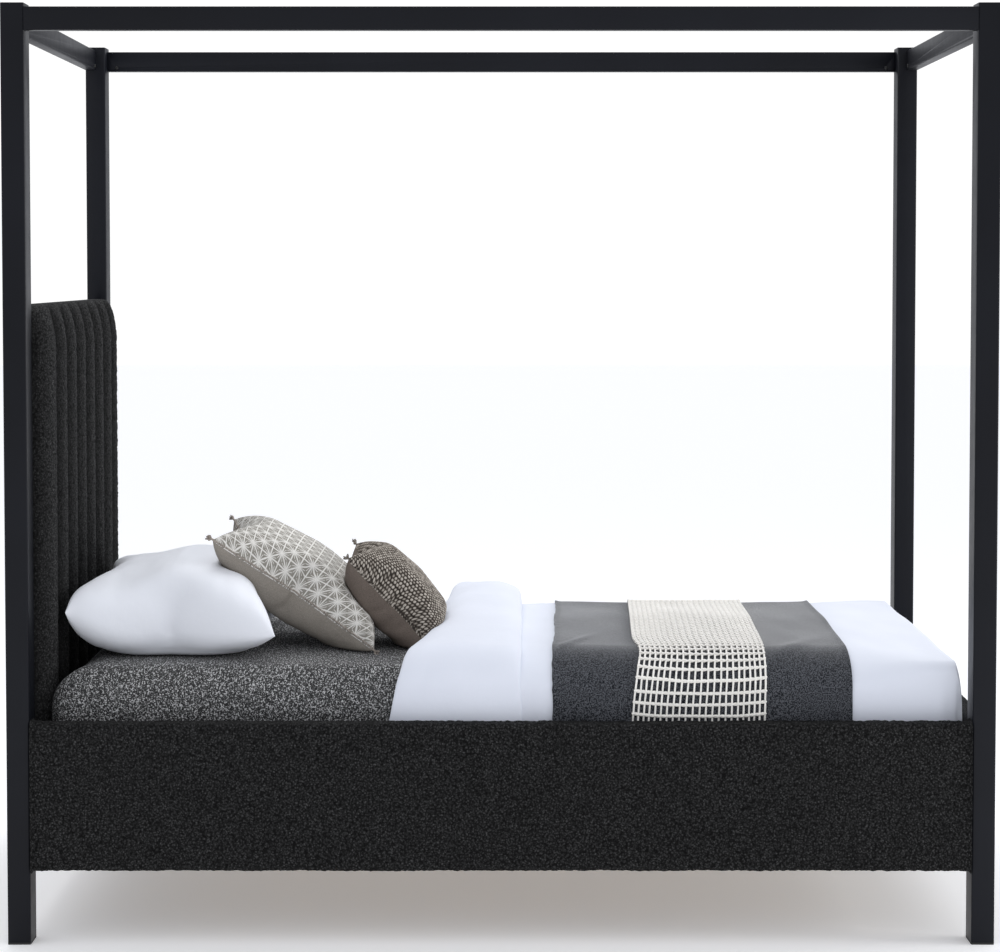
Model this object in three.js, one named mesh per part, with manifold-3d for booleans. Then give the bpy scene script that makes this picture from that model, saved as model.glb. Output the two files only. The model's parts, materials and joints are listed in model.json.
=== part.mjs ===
// Twin four poster canopy bed: square steel posts and top rails, an upholstered
// channel headboard and side rails, a slatted base, a mattress and its bedding.
// Millimetres, +Z up. The origin is on the floor at the centre of the footprint.
// X runs from the head (-) to the foot (+). Y runs from the left side (-) to the right (+).
import * as THREE from "three";
import { mergeVertices } from "three/addons/utils/BufferGeometryUtils.js";
import Module from "manifold-3d";

const wasm = await Module();
wasm.setup();

// ---- Driving dimensions ----
const LENGTH = 2040; // over the posts, head to foot
const WIDTH = 1100; // over the posts, side to side
const HEIGHT = 1938; // floor to the top of a post
const GAP = 0.3; // clearance between pieces that touch

const POST_X = 48; // post section along the bed
const POST_Y = 64; // post section across the bed
const POST_WALL = 2;
const POST_CORNER = 4;
const POST_TOP_PLATE = 3;
const FOOT_FLANGE = 4; // the plastic plug's flange under a post
const FOOT_PLUG_TOP = 26;
const FOOT_PLUG_WALL = 3;
const FOOT_PLUG_FLOOR = 8;

const TOP_RAIL_HEIGHT = 48;
const TOP_RAIL_THICK = 26;
const TOP_RAIL_WALL = 1.5;
const TOP_RAIL_CORNER = 2;
const TOP_RAIL_BORE_CORNER = 0.5;
const TOP_RAIL_DROP = 8; // from the post's top to the rail's top
const STUB_LENGTH = 60; // welded stub that a top rail slides over
const STUB_WALL = 2;
const SCREW_FROM_POST = 23;
const SCREW_UP_RAIL = 9;
const SCREW_HOLE_RADIUS = 2.8;
const BOLT_HOLE_RADIUS = 4.3;

const RAIL_BOTTOM = 153; // upholstered bed rails
const RAIL_TOP = 459;
const RAIL_THICK = 42;
const RAIL_EDGE = 10; // rounding of the padding's edges
const RAIL_END_GAP = 0.8; // between the soft cover and a post
const BOARD_THICK = 18;
const BOARD_INSET = 10; // padding over and under the board
const BRACKET_PLATE = 3;
const BRACKET_LEG = 60;
const BRACKET_BOTTOM = 185;
const BRACKET_TOP = 325;
const BRACKET_HOLE_ALONG = 36; // from the bracket's corner
const BRACKET_HOLE_INSET = 35; // from its top and bottom edges

const HEADBOARD_TOP = 1320;
const HEADBOARD_BOTTOM = RAIL_BOTTOM;
const HEADBOARD_FRONT = -934; // crest of the channels
const HEADBOARD_BACK = -1002;
const CHANNELS = 8;
const CHANNEL_DEPTH = 15;
const HEADBOARD_EDGE_FALL = 9; // the outer channels fall back towards the posts
const HEADBOARD_ROUND_HEIGHT = 100; // the front rolls back into the top over this height
const HEADBOARD_ROUND_DEPTH = 30;
const HEADBOARD_CORNER = 20;
const HEADBOARD_BOARD = 15;
const HEADBOARD_RIM = 12; // padding beyond the board's edges
const HEADBOARD_SIDE_GAP = 1; // between the padding and a post
const HEADBOARD_BRACKET_HEIGHT = 120;
const HEADBOARD_BRACKET_ON_POST = 15; // leg that lies on the post
const HEADBOARD_BRACKET_ON_BOARD = 45; // leg that lies on the board
const HEADBOARD_BRACKET_HOLE = 27.9; // from the bracket's corner
const HEADBOARD_BRACKETS = [["lower", 330], ["upper", 1080]];

const SLATS = 12;
const SLAT_WIDTH = 70;
const SLAT_THICK = 18;
const SLAT_CORNER = 4;
const SLAT_LENGTH = 980;
const SLAT_SPAN = 1720; // centre of the first slat to centre of the last
const LEDGE_WIDTH = 30;
const LEDGE_HEIGHT = 36;
const LEDGE_LENGTH = 1810;
const SLAT_BOTTOM = 317;

const MATTRESS_HEAD = -931;
const MATTRESS_FOOT = 958;
const MATTRESS_WIDTH = 975;
const MATTRESS_TOP = 562;
const MATTRESS_TOP_EDGE = 90; // rounding of the top edge
const MATTRESS_BASE_EDGE = 30; // rounding of the bottom edge
const MATTRESS_CORNER = 110; // rounding of the corners seen from above

const BEDDING_HEM = 405; // the covers hang down inside the bed rails
const DUVET_THICK = 8;
const BLANKET_THICK = 4;
const THROW_THICK = 5;
const BLANKET_HEM_RISE = 10; // its hem above the duvet's hem
const THROW_HEM_RISE = 20;
const COVER_SHOULDER = 105; // rounding where the covers turn down over the mattress
const COVER_SHOULDER_RISE = 12; // the shoulder's top above the mattress
const COVER_CROWN = 22; // the further rise of the covers to the middle of the bed
const COVER_SHEAR = 0.03; // the blanket and throw lie a little askew
const COVER_CLEARANCE = 0.4;
const BLANKET_FROM = 121;
const BLANKET_TO = 740;
const THROW_FROM = 299;
const THROW_TO = 566;
const FOLD_TOP = 630; // the duvet's upper end is turned back on itself
const FOLD_END = 45;
const FOLD_CREASE_RIGHT = -88; // X of the crease at the right side of the bed
const FOLD_ASKEW = 135; // how much nearer the head it is at the left side
const FOLD_CREASE_BEND = 1.6;
const FOLD_BULGE = 12;
// The fold's rounded upper part: distance below its top, then how far the ring lies in from the
// crease and from the sides.
const FOLD_ROUND = [[90, 0, 8], [50, 0, 30], [20, 8, 65], [0, 40, 130]];
const FOLD_WALL_TOP = 489; // the fold's sides bulge out up to here

const PILLOW = { half: [222, 345], crown: 120, pullIn: 0.06, puff: 0.5 };
const PILLOW_CENTRE = [-711, -55, 652];
const PRINTED = { half: [213, 215], crown: 78, pullIn: 0.05, puff: 0.6 };
const PRINTED_CENTRE = [-451, -50, 687];
const PRINTED_TILT = 34.4;
const WOVEN = { half: [136, 140], crown: 72, pullIn: 0.05, puff: 0.6 };
const WOVEN_CENTRE = [-236, -103, 658];
const WOVEN_TILT = 46;

const HALF_LENGTH = LENGTH / 2;
const HALF_WIDTH = WIDTH / 2;
const POST_INNER_X = HALF_LENGTH - POST_X;
const POST_INNER_Y = HALF_WIDTH - POST_Y;
const SIDES = [["left", -1], ["right", 1]];
const ENDS = [["head", -1], ["foot", 1]];

// ---- Materials ----
function finish(color, roughness, metalness) {
  return new THREE.MeshStandardMaterial({ color, roughness, metalness });
}

const framePaint = finish(0x1b1c20, 0.42, 0.3);
const footPlastic = finish(0x141414, 0.6, 0);
const screwSteel = finish(0x2c2d30, 0.35, 0.8);
const boucle = finish(0x262626, 0.95, 0);
const plywood = finish(0xb98f5e, 0.7, 0);
const slatPine = finish(0xd3ae7a, 0.65, 0);
const mattressKnit = finish(0x4c4d50, 0.9, 0);
const whiteCotton = finish(0xe9eaf2, 0.85, 0);
const printedCotton = finish(0x9b968c, 0.9, 0);
const chunkyWeave = finish(0x8d8276, 0.95, 0);
const greyFelt = finish(0x4b4d54, 0.95, 0);
const creamKnit = finish(0xe2dccf, 0.9, 0);

// ---- Solids ----
const bed = new THREE.Group();

function addPiece(name, solid, material) {
  const mesh = new THREE.Mesh(geometryOf(solid), material);
  mesh.name = name;
  bed.add(mesh);
}

function solidOf(geometry) {
  const bare = geometry.clone();
  bare.deleteAttribute("normal");
  bare.deleteAttribute("uv");
  const merged = mergeVertices(bare, 1e-3);
  return new wasm.Manifold(
    new wasm.Mesh({
      numProp: 3,
      vertProperties: merged.attributes.position.array,
      triVerts: new Uint32Array(merged.index.array),
    }),
  );
}

function geometryOf(solid) {
  const mesh = solid.getMesh();
  const geometry = new THREE.BufferGeometry();
  geometry.setAttribute("position", new THREE.BufferAttribute(mesh.vertProperties, 3));
  geometry.setIndex(new THREE.BufferAttribute(mesh.triVerts, 1));
  return geometry;
}

// A box between two opposite corners, given in any order.
function box(a, b) {
  const low = a.map((value, i) => Math.min(value, b[i]));
  const high = a.map((value, i) => Math.max(value, b[i]));
  const size = high.map((value, i) => value - low[i]);
  const geometry = new THREE.BoxGeometry(...size);
  geometry.translate(...high.map((value, i) => (value + low[i]) / 2));
  return solidOf(geometry);
}

function roundedRect(width, height, radius) {
  const w = width / 2 - radius;
  const h = height / 2 - radius;
  const shape = new THREE.Shape();
  shape.absarc(w, h, radius, 0, Math.PI / 2);
  shape.absarc(-w, h, radius, Math.PI / 2, Math.PI);
  shape.absarc(-w, -h, radius, Math.PI, Math.PI * 1.5);
  shape.absarc(w, -h, radius, Math.PI * 1.5, Math.PI * 2);
  shape.closePath();
  return shape;
}

// A straight bar of one section. Along "x" the section lies in (Y, Z), along "y" in (X, Z)
// and along "z" in (X, Y).
function bar(shape, axis, from, to, curveSegments = 3) {
  const geometry = new THREE.ExtrudeGeometry(shape, {
    depth: to - from,
    bevelEnabled: false,
    curveSegments,
  });
  const X = new THREE.Vector3(1, 0, 0);
  const Y = new THREE.Vector3(0, 1, 0);
  const Z = new THREE.Vector3(0, 0, 1);
  const frames = {
    x: new THREE.Matrix4().makeBasis(Y, Z, X).setPosition(from, 0, 0),
    y: new THREE.Matrix4().makeBasis(X, Z, Y.clone().negate()).setPosition(0, to, 0),
    z: new THREE.Matrix4().setPosition(0, 0, from),
  };
  return solidOf(geometry.applyMatrix4(frames[axis]));
}

// A rod along X or Y from one point of its axis to another.
function rod(axis, centre, from, to, radius, sides = 10) {
  const circle = new THREE.Shape().absarc(0, 0, radius, 0, Math.PI * 2);
  return bar(circle, axis, from, to, sides / 2).translate(centre);
}

// Points of a quarter round from the side of a shape, at (half, low), up to its top.
function quarterRound(half, top, radius, steps) {
  const points = [];
  for (let i = 0; i <= steps; i++) {
    const angle = (i / steps) * (Math.PI / 2);
    points.push([half - radius * (1 - Math.cos(angle)), top - radius * (1 - Math.sin(angle))]);
  }
  return points;
}

// A closed skin through rings of equal point count, capped at the first and last ring.
function loft(rings) {
  const count = rings[0].length;
  const positions = rings.flat().flatMap((point) => [point.x, point.y, point.z]);
  const index = [];
  for (let r = 0; r + 1 < rings.length; r++) {
    for (let i = 0; i < count; i++) {
      const a = r * count + i;
      const b = r * count + ((i + 1) % count);
      index.push(a, b, b + count, a, b + count, a + count);
    }
  }
  const outline = rings[0].map((point) => new THREE.Vector2(point.x, point.y));
  const lastRing = (rings.length - 1) * count;
  for (const [a, b, c] of THREE.ShapeUtils.triangulateShape(outline, [])) {
    index.push(c, b, a);
    index.push(lastRing + a, lastRing + b, lastRing + c);
  }
  const geometry = new THREE.BufferGeometry();
  geometry.setAttribute("position", new THREE.Float32BufferAttribute(positions, 3));
  geometry.setIndex(index);
  return solidOf(geometry);
}

// ---- Posts and feet ----
function cornerOfPost(side, end) {
  return [end * (HALF_LENGTH - POST_X / 2), side * (HALF_WIDTH - POST_Y / 2), 0];
}

const TOP_RAIL_TOP = HEIGHT - TOP_RAIL_DROP;
const TOP_RAIL_MIDDLE = TOP_RAIL_TOP - TOP_RAIL_HEIGHT / 2;
const STUB_GAP = TOP_RAIL_WALL + GAP;
const SCREW_Z = TOP_RAIL_TOP - TOP_RAIL_HEIGHT + SCREW_UP_RAIL;

// A hollow stub that stands out of the post's inner face along one axis.
function railStub(side, end, alongX) {
  const reach = alongX ? POST_INNER_X : POST_INNER_Y;
  const across = (alongX ? HALF_WIDTH : HALF_LENGTH) - TOP_RAIL_THICK / 2;
  const [outward, sideways] = alongX ? [end, side] : [side, end];
  const at = (distance, half, z) => {
    const x = alongX ? distance * outward : across * sideways + half;
    const y = alongX ? across * sideways + half : distance * outward;
    return [x, y, z];
  };
  const half = TOP_RAIL_THICK / 2 - STUB_GAP;
  const tall = TOP_RAIL_HEIGHT / 2 - STUB_GAP;
  const outer = box(
    at(reach + 1, -half, TOP_RAIL_MIDDLE - tall),
    at(reach - STUB_LENGTH, half, TOP_RAIL_MIDDLE + tall),
  );
  const inner = box(
    at(reach, STUB_WALL - half, TOP_RAIL_MIDDLE - tall + STUB_WALL),
    at(reach - STUB_LENGTH - 1, half - STUB_WALL, TOP_RAIL_MIDDLE + tall - STUB_WALL),
  );
  return outer.subtract(inner);
}

// The screw hole through the inner wall of one end of a top rail and of its stub.
function screwHole(side, end, alongX) {
  const from = TOP_RAIL_THICK / 2;
  if (alongX) {
    const inner = side * (HALF_WIDTH - TOP_RAIL_THICK);
    const x = end * (POST_INNER_X - SCREW_FROM_POST);
    const ends = [inner - side * 2, inner + side * from].sort((a, b) => a - b);
    return rod("y", [x, 0, SCREW_Z], ...ends, SCREW_HOLE_RADIUS);
  }
  const inner = end * (HALF_LENGTH - TOP_RAIL_THICK);
  const y = side * (POST_INNER_Y - SCREW_FROM_POST);
  const ends = [inner - end * 2, inner + end * from].sort((a, b) => a - b);
  return rod("x", [0, y, SCREW_Z], ...ends, SCREW_HOLE_RADIUS);
}

function buildPost(side, end) {
  const base = FOOT_FLANGE + GAP;
  const outer = bar(roundedRect(POST_X, POST_Y, POST_CORNER), "z", base, HEIGHT);
  const bore = roundedRect(
    POST_X - 2 * POST_WALL,
    POST_Y - 2 * POST_WALL,
    POST_CORNER - POST_WALL,
  );
  const hollow = bar(bore, "z", base - 1, HEIGHT - POST_TOP_PLATE, 2);
  const stubs = railStub(side, end, true).add(railStub(side, end, false));
  return outer
    .subtract(hollow)
    .translate(cornerOfPost(side, end))
    .add(stubs)
    .subtract(screwHole(side, end, true))
    .subtract(screwHole(side, end, false));
}

// A plastic plug pressed into the open foot of a post. Its flange meets the floor.
function buildFootPlug(side, end) {
  const plugX = POST_X - 2 * (POST_WALL + GAP);
  const plugY = POST_Y - 2 * (POST_WALL + GAP);
  const corner = POST_CORNER - POST_WALL - GAP;
  const pocketX = plugX - 2 * FOOT_PLUG_WALL;
  const pocketY = plugY - 2 * FOOT_PLUG_WALL;
  const flange = bar(roundedRect(POST_X, POST_Y, POST_CORNER), "z", 0, FOOT_FLANGE);
  const plug = bar(roundedRect(plugX, plugY, corner), "z", FOOT_FLANGE - 1, FOOT_PLUG_TOP, 1);
  const pocket = bar(
    roundedRect(pocketX, pocketY, corner),
    "z",
    FOOT_PLUG_FLOOR,
    FOOT_PLUG_TOP + 1,
    1,
  );
  return flange.add(plug).subtract(pocket).translate(cornerOfPost(side, end));
}

for (const [sideName, side] of SIDES) {
  for (const [endName, end] of ENDS) {
    addPiece(`post_${endName}_${sideName}`, buildPost(side, end), framePaint);
    addPiece(`foot_plug_${endName}_${sideName}`, buildFootPlug(side, end), footPlastic);
  }
}

// ---- Top rails and their screws ----
function topRailSection(across) {
  const section = roundedRect(TOP_RAIL_THICK, TOP_RAIL_HEIGHT, TOP_RAIL_CORNER);
  const hole = roundedRect(
    TOP_RAIL_THICK - 2 * TOP_RAIL_WALL,
    TOP_RAIL_HEIGHT - 2 * TOP_RAIL_WALL,
    TOP_RAIL_BORE_CORNER,
  );
  const place = (path, divisions) =>
    path
      .getPoints(divisions)
      .map((p) => new THREE.Vector2(p.x + across, p.y + TOP_RAIL_MIDDLE));
  const shape = new THREE.Shape(place(section, 2));
  shape.holes.push(new THREE.Path(place(hole, 1)));
  return shape;
}

for (const [sideName, side] of SIDES) {
  const across = side * (HALF_WIDTH - TOP_RAIL_THICK / 2);
  const reach = POST_INNER_X - GAP;
  const rail = bar(topRailSection(across), "x", -reach, reach)
    .subtract(screwHole(side, -1, true))
    .subtract(screwHole(side, 1, true));
  addPiece(`top_rail_${sideName}`, rail, framePaint);
}
for (const [endName, end] of ENDS) {
  const across = end * (HALF_LENGTH - TOP_RAIL_THICK / 2);
  const reach = POST_INNER_Y - GAP;
  const rail = bar(topRailSection(across), "y", -reach, reach)
    .subtract(screwHole(-1, end, false))
    .subtract(screwHole(1, end, false));
  addPiece(`top_rail_${endName}`, rail, framePaint);
}

// A button-head screw with a hexagonal socket. The underside of its head is at the origin and
// its shank points along +Z.
function buildScrew() {
  const headRadius = 4.6;
  const headHeight = 2.4;
  const shankRadius = 2.5;
  const shankEnd = 9;
  const socketRadius = 1.7;
  const socketDepth = 1.5;
  const profile = [
    [0, -headHeight],
    [headRadius * 0.6, -headHeight],
    [headRadius * 0.92, -headHeight * 0.6],
    [headRadius, 0],
    [shankRadius, 0],
    [shankRadius, shankEnd],
    [0, shankEnd],
  ].map(([r, z]) => new THREE.Vector2(r, z));
  const turned = new THREE.LatheGeometry(profile, 10).rotateX(Math.PI / 2);
  const socket = new THREE.CylinderGeometry(socketRadius, socketRadius, 2 * socketDepth, 6);
  socket.rotateX(Math.PI / 2);
  socket.translate(0, 0, -headHeight);
  return solidOf(turned).subtract(solidOf(socket));
}

for (const [sideName, side] of SIDES) {
  for (const [endName, end] of ENDS) {
    const long = buildScrew()
      .rotate([side * -90, 0, 0])
      .translate([
        end * (POST_INNER_X - SCREW_FROM_POST),
        side * (HALF_WIDTH - TOP_RAIL_THICK - GAP),
        SCREW_Z,
      ]);
    addPiece(`screw_long_${endName}_${sideName}`, long, screwSteel);
    const short = buildScrew()
      .rotate([0, end * 90, 0])
      .translate([
        end * (HALF_LENGTH - TOP_RAIL_THICK - GAP),
        side * (POST_INNER_Y - SCREW_FROM_POST),
        SCREW_Z,
      ]);
    addPiece(`screw_end_${endName}_${sideName}`, short, screwSteel);
  }
}

// ---- Headboard ----
const HEADBOARD_HALF = POST_INNER_Y - HEADBOARD_SIDE_GAP;
const headboardBoard = {
  half: HEADBOARD_HALF - HEADBOARD_RIM,
  bottom: HEADBOARD_BOTTOM + HEADBOARD_RIM,
  top: HEADBOARD_TOP - 2 * HEADBOARD_RIM,
  front: HEADBOARD_BACK + HEADBOARD_BOARD,
};

// The padded front in plan: eight rounded channels that fall back towards the two edges.
function headboardRing(z, setback, depth, edgeInset) {
  const half = HEADBOARD_HALF - edgeInset;
  const pitch = (2 * half) / CHANNELS;
  const steps = 5;
  const edgeShare = 0.85; // the front is level up to this share of its half width
  const ring = [];
  for (let channel = 0; channel < CHANNELS; channel++) {
    for (let step = 0; step < steps; step++) {
      const across = step / steps;
      const y = -half + pitch * (channel + across);
      const groove = depth * (1 - Math.sin(Math.PI * across));
      const beyond = Math.max(0, Math.abs(y) / half - edgeShare) / (1 - edgeShare);
      const fall = HEADBOARD_EDGE_FALL * beyond;
      ring.push(new THREE.Vector3(HEADBOARD_FRONT - setback - groove - fall, y, z));
    }
  }
  const edge = HEADBOARD_FRONT - setback - depth - HEADBOARD_EDGE_FALL;
  ring.push(new THREE.Vector3(edge, half, z));
  ring.push(new THREE.Vector3(HEADBOARD_BACK, half, z));
  ring.push(new THREE.Vector3(HEADBOARD_BACK, -half, z));
  return ring;
}

function buildHeadboardPad() {
  const rings = [headboardRing(HEADBOARD_BOTTOM, 0, CHANNEL_DEPTH, 0)];
  const levels = 5;
  const channelsEnd = 0.25; // the channels die out over the top of the roll
  for (let i = 0; i <= levels; i++) {
    const angle = (i / levels) * (Math.PI / 2);
    const z = HEADBOARD_TOP - HEADBOARD_ROUND_HEIGHT * (1 - Math.sin(angle));
    const setback = HEADBOARD_ROUND_DEPTH * (1 - Math.cos(angle));
    const flatten = Math.max(0, Math.cos(angle) - channelsEnd) / (1 - channelsEnd);
    const rise = Math.max(0, z - (HEADBOARD_TOP - HEADBOARD_CORNER));
    const inset = HEADBOARD_CORNER - Math.sqrt(HEADBOARD_CORNER ** 2 - rise ** 2);
    rings.push(headboardRing(z, setback, CHANNEL_DEPTH * flatten, inset));
  }
  const { half, bottom, top, front } = headboardBoard;
  const pocket = box(
    [HEADBOARD_BACK - 1, -half - GAP, bottom - GAP],
    [front + GAP, half + GAP, top + GAP],
  );
  return loft(rings).subtract(pocket);
}

function buildHeadboardBoard() {
  const { half, bottom, top, front } = headboardBoard;
  return box([HEADBOARD_BACK, -half, bottom], [front, half, top]);
}

addPiece("headboard_pad", buildHeadboardPad(), boucle);
addPiece("headboard_board", buildHeadboardBoard(), plywood);

// An angle plate in plan: one leg lies on the board, the other on the post.
function anglePlate(corner, legX, legY, bottom, top) {
  const [x, y] = corner;
  const alongX = box(
    [x, y, bottom],
    [x + legX, y + Math.sign(legY) * BRACKET_PLATE, top],
  );
  const alongY = box(
    [x, y, bottom],
    [x + Math.sign(legX) * BRACKET_PLATE, y + legY, top],
  );
  return alongX.add(alongY);
}

for (const [sideName, side] of SIDES) {
  for (const [level, z] of HEADBOARD_BRACKETS) {
    const corner = [HEADBOARD_BACK - GAP, side * (POST_INNER_Y - GAP)];
    const legOnPost = -HEADBOARD_BRACKET_ON_POST;
    const legOnBoard = side * -HEADBOARD_BRACKET_ON_BOARD;
    const top = z + HEADBOARD_BRACKET_HEIGHT;
    const plate = anglePlate(corner, legOnPost, legOnBoard, z, top);
    const holeAt = [0, corner[1] - side * HEADBOARD_BRACKET_HOLE, (z + top) / 2];
    const hole = rod("x", holeAt, corner[0] - 2 * BRACKET_PLATE, corner[0] + 1, BOLT_HOLE_RADIUS);
    addPiece(`headboard_bracket_${sideName}_${level}`, plate.subtract(hole), framePaint);
  }
}

// ---- Upholstered bed rails ----
const BOARD_BOTTOM = RAIL_BOTTOM + BOARD_INSET;
const BOARD_TOP = RAIL_TOP - BOARD_INSET;

// The padded cover's section wraps the outside, top and bottom of the board.
function coverSection(outerFace, sign) {
  const middle = (RAIL_BOTTOM + RAIL_TOP) / 2;
  const outline = roundedRect(RAIL_THICK, RAIL_TOP - RAIL_BOTTOM, RAIL_EDGE)
    .getPoints(3)
    .map((p) => new THREE.Vector2(outerFace - sign * RAIL_THICK / 2 + p.x, middle + p.y));
  return new THREE.Shape(outline);
}

function railCover(axis, outerFace, sign, reach) {
  const cover = bar(coverSection(outerFace, sign), axis, -reach, reach);
  const inner = outerFace - sign * RAIL_THICK;
  const deep = inner + sign * (BOARD_THICK + GAP);
  const low = BOARD_BOTTOM - GAP;
  const high = BOARD_TOP + GAP;
  const pocket =
    axis === "x"
      ? box([-reach - 1, inner - sign, low], [reach + 1, deep, high])
      : box([inner - sign, -reach - 1, low], [deep, reach + 1, high]);
  return cover.subtract(pocket);
}

const sideBoardInner = HALF_WIDTH - RAIL_THICK;
const footBoardInner = HALF_LENGTH - RAIL_THICK;
const sideBoardReach = POST_INNER_X - BRACKET_PLATE - 2 * GAP;
const footBoardReach = POST_INNER_Y - BRACKET_PLATE - 2 * GAP;

for (const [sideName, side] of SIDES) {
  const cover = railCover("x", side * HALF_WIDTH, side, POST_INNER_X - RAIL_END_GAP);
  addPiece(`side_rail_cover_${sideName}`, cover, boucle);
  const board = box(
    [-sideBoardReach, side * sideBoardInner, BOARD_BOTTOM],
    [sideBoardReach, side * (sideBoardInner + BOARD_THICK), BOARD_TOP],
  );
  addPiece(`side_rail_board_${sideName}`, board, plywood);
  const ledgeOuter = side * (sideBoardInner - GAP);
  const ledge = box(
    [-LEDGE_LENGTH / 2, ledgeOuter, SLAT_BOTTOM - GAP - LEDGE_HEIGHT],
    [LEDGE_LENGTH / 2, ledgeOuter - side * LEDGE_WIDTH, SLAT_BOTTOM - GAP],
  );
  addPiece(`slat_ledge_${sideName}`, ledge, slatPine);
}
addPiece(
  "foot_rail_cover",
  railCover("y", HALF_LENGTH, 1, POST_INNER_Y - RAIL_END_GAP),
  boucle,
);
addPiece(
  "foot_rail_board",
  box(
    [footBoardInner, -footBoardReach, BOARD_BOTTOM],
    [footBoardInner + BOARD_THICK, footBoardReach, BOARD_TOP],
  ),
  plywood,
);

// Two bolt holes through the leg of a rail bracket that lies on the board.
function boltHoles(axis, along, face) {
  const [x, y] = axis === "y" ? [along, 0] : [0, along];
  const span = [face - 2 * BRACKET_PLATE, face + 2 * BRACKET_PLATE, BOLT_HOLE_RADIUS];
  const lower = rod(axis, [x, y, BRACKET_BOTTOM + BRACKET_HOLE_INSET], ...span);
  const upper = rod(axis, [x, y, BRACKET_TOP - BRACKET_HOLE_INSET], ...span);
  return lower.add(upper);
}

for (const [sideName, side] of SIDES) {
  for (const [endName, end] of ENDS) {
    const corner = [end * (POST_INNER_X - GAP), side * (sideBoardInner - GAP - BRACKET_PLATE)];
    const plate = anglePlate(
      corner,
      end * -BRACKET_LEG,
      side * (BRACKET_PLATE + BOARD_THICK),
      BRACKET_BOTTOM,
      BRACKET_TOP,
    );
    const holes = boltHoles("y", corner[0] - end * BRACKET_HOLE_ALONG, corner[1]);
    addPiece(`rail_bracket_${endName}_${sideName}`, plate.subtract(holes), framePaint);
  }
  const corner = [footBoardInner - GAP - BRACKET_PLATE, side * (POST_INNER_Y - GAP)];
  const plate = anglePlate(
    corner,
    BRACKET_PLATE + BOARD_THICK,
    side * -BRACKET_LEG,
    BRACKET_BOTTOM,
    BRACKET_TOP,
  );
  const holes = boltHoles("x", corner[1] - side * BRACKET_HOLE_ALONG, corner[0]);
  addPiece(`foot_rail_bracket_${sideName}`, plate.subtract(holes), framePaint);
}

// ---- Slats ----
for (let i = 0; i < SLATS; i++) {
  const x = -SLAT_SPAN / 2 + (SLAT_SPAN * i) / (SLATS - 1);
  const section = roundedRect(SLAT_WIDTH, SLAT_THICK, SLAT_CORNER);
  const slat = bar(section, "y", -SLAT_LENGTH / 2, SLAT_LENGTH / 2, 2);
  const name = `slat_${String(i + 1).padStart(2, "0")}`;
  addPiece(name, slat.translate([x, 0, SLAT_BOTTOM + SLAT_THICK / 2]), slatPine);
}

// ---- Mattress ----
// The mattress, or with a clearance the room that it takes up inside the duvet.
function buildMattress(clearance) {
  const bottom = SLAT_BOTTOM + SLAT_THICK + GAP;
  const length = MATTRESS_FOOT - MATTRESS_HEAD;
  const centre = (MATTRESS_FOOT + MATTRESS_HEAD) / 2;
  const ringAt = (z, inset) =>
    roundedRect(
      length - 2 * (inset - clearance),
      MATTRESS_WIDTH - 2 * (inset - clearance),
      MATTRESS_CORNER - inset,
    )
      .getPoints(4)
      .slice(0, -1)
      .map((p) => new THREE.Vector3(p.x + centre, p.y, z));
  const upper = quarterRound(0, MATTRESS_TOP + clearance, MATTRESS_TOP_EDGE, 5);
  const lower = quarterRound(0, -bottom, MATTRESS_BASE_EDGE, 3).reverse();
  return loft([
    ...lower.map(([x, z]) => ringAt(-z, -x)),
    ...upper.map(([x, z]) => ringAt(z, -x)),
  ]);
}

addPiece("mattress", buildMattress(0), mattressKnit);

// ---- Covers that drape over the mattress ----
const duvetHalf = MATTRESS_WIDTH / 2 + DUVET_THICK + COVER_CLEARANCE;

// Points over the covered mattress in (Y, Z), from the right hem to the left, at an offset from
// the duvet's surface. The covers are highest along the middle of the bed.
function coverArch(offset, hem) {
  const half = duvetHalf + offset;
  const top = MATTRESS_TOP + COVER_SHOULDER_RISE + offset;
  const right = [[half, hem], ...quarterRound(half, top, COVER_SHOULDER + offset, 5)];
  const flat = half - COVER_SHOULDER - offset;
  const crown = [-0.6, -0.2, 0.2, 0.6].map((share) => [
    -share * flat,
    top + COVER_CROWN * (1 - share ** 2),
  ]);
  const left = right.map(([y, z]) => [-y, z]).reverse();
  return [...right, ...crown, ...left];
}

function sectionOf(points) {
  return new THREE.Shape(points.map(([a, b]) => new THREE.Vector2(a, b)));
}

// A cover that lies on the one below: a strip between two arches.
function buildCover(lowerOffset, thick, hem, from, to) {
  const outer = coverArch(lowerOffset + thick, hem);
  const inner = coverArch(lowerOffset, hem).reverse();
  return shearAlongX(bar(sectionOf([...outer, ...inner]), "x", from, to));
}

function shearAlongX(solid) {
  return solid.transform([1, 0, 0, 0, COVER_SHEAR, 1, 0, 0, 0, 0, 1, 0, 0, 0, 0, 1]);
}

const foldHalf = duvetHalf + FOLD_BULGE;

// The fold's crease runs a little askew: nearer the foot on the right side of the bed.
function foldCrease(y) {
  const fromRight = (foldHalf - y) / (2 * foldHalf);
  return FOLD_CREASE_RIGHT - FOLD_ASKEW * fromRight ** FOLD_CREASE_BEND;
}

// The upper end of the duvet, turned back on itself in a deep soft fold.
function buildFold() {
  const steps = 8;
  const ringAt = (z, insetX, insetY) => {
    const half = foldHalf - insetY;
    const ring = [];
    for (let i = 0; i <= steps; i++) {
      const y = half * (1 - (2 * i) / steps);
      ring.push(new THREE.Vector3(foldCrease(y) + insetX, y, z));
    }
    ring.push(new THREE.Vector3(FOLD_END - insetX, -half, z));
    ring.push(new THREE.Vector3(FOLD_END - insetX, half, z));
    return ring;
  };
  return loft([
    ringAt(BEDDING_HEM, 0, FOLD_BULGE),
    ringAt(FOLD_WALL_TOP, 0, 0),
    ...FOLD_ROUND.map(([below, insetX, insetY]) => ringAt(FOLD_TOP - below, insetX, insetY)),
  ]);
}

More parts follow.
